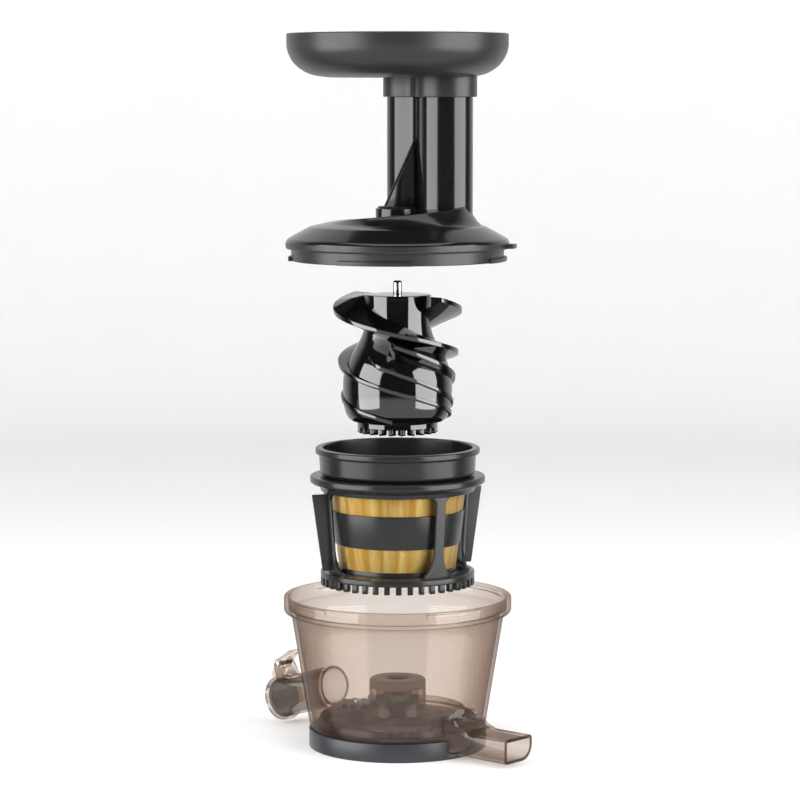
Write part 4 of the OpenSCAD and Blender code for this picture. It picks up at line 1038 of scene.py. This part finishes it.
low, high = 11.0, 61.5
wipers("outer_wipers", "outer_wiper_blades", (0, 2), [
    (cage_r(low) - 1, low), (52.6, low), (60, high), (cage_r(high) - 1, high)], 0.35)
low, high = 13.5, 61.0
wipers("inner_wipers", "inner_wiper_blades", (1, 3), [
    (mesh_r(low) + NEAR_MESH, low), (cage_r(low) - 1.6, low), (cage_r(high) - 1.6, high),
    (mesh_r(high) + NEAR_MESH, high)], 0.3)

# %% [markdown]
# ## Bowl and base
# The bowl is one clear moulding: tapered wall, thick rim band with a ledge, floor with a ridge
# and a centre boss, and two spouts. Clear plastic shows every inner face, so it has to be one
# closed skin, and the copy of the solid is that. Its rim and the pulp spout get rounded edges.
# The base ring is a plain turned moulding, satin grey, and is a copy too.

# %% Bowl and base
RIM_LOW, WALL_R = 0.094, 0.079  # metres: what lies above or outside gets rounded edges


def at_rim_or_spout(p):
    """Whether a point lies at the bowl's rim or on its pulp spout"""
    return p.z > RIM_LOW or (p.x > 0 and math.hypot(p.x, p.y) > WALL_R)


copied("juicing_bowl_piece", "juicing_bowl", smoke_walls, "bowl", "bowl_clear", 0.45, 30,
       at_rim_or_spout)
copied("bowl_base_piece", "bowl_base", ring_grey, "bowl", "base_plastic", 0.4)

# %% [markdown]
# ## Small parts
# Seals, gear, axle, pins, screws, cap, socket, bush and magnet are small and plainly turned or
# moulded. Little of them shows, so each is a copy of its solid with broken corners, and a table
# of name, solid, finish, body, slot and edge width says all that sets them apart.

# %% Small parts
for row in [
        ("drive_seal_piece", "drive_seal", seal_rubber, "bowl", "seal_silicone", 0.4),
        ("idler_gear_piece", "idler_gear", gear_pom, "idler", "gear_plastic", 0.3),
        ("idler_axle_piece", "idler_axle", pin_steel, "bowl", "steel", 0.3),
        ("hinge_pin_piece", "cap_hinge_pin", pin_steel, "bowl", "steel", 0.3),
        ("base_screws_piece", "base_screws", screw_steel, "bowl", "steel", 0.2),
        ("juice_cap_piece", "juice_cap", smoke, "cap", "bowl_clear", 0.0, 30),
        ("cap_seal_piece", "juice_cap_seal", seal_rubber, "cap", "dark_silicone", 0.3),
        ("drive_socket_piece", "drive_socket", screw_steel, "auger", "steel", 0.3),
        ("retainer_piece", "socket_retainer", blade_rubber, "auger", "dark_silicone"),
        ("lid_bush_piece", "lid_bush", bush_pom, "bush", "bush_plastic", 0.2),
        ("magnet_piece", "safety_magnet", screw_steel, "lid", "steel"),
        ("magnet_cover_piece", "magnet_cover", lid_abs, "lid", "lid_plastic")]:
    copied(*row)

# %% [markdown]
# ## Floor and light
# A round tent of white paper, open above, stands about the object: a floor that curves up into
# a wall on all sides. Two large square softboxes stand left and right of the camera, where
# their upright reflections fall on the auger's barrel, and a third hangs above. The paper glows
# a little, as paper lit from behind does. Black plastic mirrors the room instead: bright behind
# the object, dark where the camera stands.


# %% Paper and floor
FIBRE = 4.0  # clouds of 250 mm in the paper
TENT_R, TENT_BEND, TENT_H = 2600, 900, 2600


def studio_paper():
    """White paper, lit a little from behind"""
    material, tree, place = new_material("studio_paper_white")
    fibre = add(tree, "ShaderNodeTexNoise", inputs={
        "Vector": place, "Scale": FIBRE, "Detail": 2.0})
    shade = add(tree, "ShaderNodeMix", {"data_type": "RGBA"}, {
        0: fibre.outputs["Fac"], 6: linear("#fbfbfb"), 7: linear("#f8f8f8")})
    shader = add(tree, "ShaderNodeBsdfPrincipled", inputs={
        "Base Color": shade.outputs[2], "Roughness": 0.9, "Specular IOR Level": 0.1,
        "Emission Color": shade.outputs[2], "Emission Strength": 0.06})
    show(tree, shader.outputs[0])
    return material


def tent():
    """Round floor that curves up into a wall"""
    path = [(r, 0) for r in (0, 400, 800, 1200)]
    path += arc((TENT_R - TENT_BEND, TENT_BEND), TENT_BEND, -math.pi / 2, 0, 16)
    floor = raw_mesh("tent", turned(path + [(TENT_R, TENT_H)], steps=96))
    floor.data.shade_smooth()
    floor.data.materials.append(studio_paper())
    floor.visible_glossy = False
    return floor


tent()

# %% Lights
AIM = np.array([0, 0, 0.25])


def softbox(name, turn, far, high, size, radiance):
    """Square light aimed at the object, its turn in degrees to the right of the camera's side
    and its distance, height and size in metres"""
    light = bpy.data.lights.new(name, "AREA")
    light.shape, light.size, light.size_y = "RECTANGLE", size, size
    light.energy = 4 * radiance * size * size
    box = bpy.data.objects.new(name, light)
    bpy.context.scene.collection.objects.link(box)
    a = EYE_TURN + math.radians(turn)
    at = np.array([math.sin(a) * far, -math.cos(a) * far, high])
    box.location = at
    look = AIM - at
    box.rotation_euler = (math.acos(-look[2] / np.linalg.norm(look)),
                          0, math.atan2(look[1], look[0]) - math.pi / 2)
    box.visible_camera = False


SIDE_TURN = 64
for name, turn in (("left_box", -SIDE_TURN), ("right_box", SIDE_TURN)):
    softbox(name, turn, far=1.5, high=0.45, size=1.5, radiance=3.8)
softbox("top_box", 10, far=0.2, high=1.9, size=1.8, radiance=1.2)
print("three softboxes")

# %% Room behind the paper
# each a way, and how closely a reflection has to follow it, as a cosine, to see the first
# and the full light
BEHIND, TABLE, CAMERA_SIDE = ((tuple(-away), 0.3, 0.75), ((0, 0, -1), 0.15, 0.2),
                              (tuple(away), -0.16, -0.06))
world = bpy.data.worlds.new("studio")
world.use_nodes = True
room = world.node_tree
place = add(room, "ShaderNodeTexCoord")
terms = []
for way, start, full in (BEHIND, TABLE, CAMERA_SIDE):
    along = add(room, "ShaderNodeVectorMath", {"operation": "DOT_PRODUCT"}, {
        0: place.outputs["Generated"], 1: way})
    terms.append(add(room, "ShaderNodeMapRange", {"interpolation_type": "SMOOTHSTEP"}, {
        "Value": along.outputs["Value"], "From Min": start, "From Max": full}))
behind, below, camera_side = terms
table = add(room, "ShaderNodeMath", {"operation": "MULTIPLY"}, {
    0: below.outputs[0], 1: camera_side.outputs[0]})
lit = add(room, "ShaderNodeMath", {"operation": "MAXIMUM"}, {
    0: behind.outputs[0], 1: table.outputs[0]})
level = add(room, "ShaderNodeMapRange", inputs={
    "Value": lit.outputs[0], "To Min": 0.03, "To Max": 0.8})
backdrop = room.nodes["Background"]
backdrop.inputs["Color"].default_value = linear("#ffffff")
room.links.new(level.outputs[0], backdrop.inputs["Strength"])
bpy.context.scene.world = world
bpy.context.scene.view_settings.view_transform = "Standard"
print("room lit")
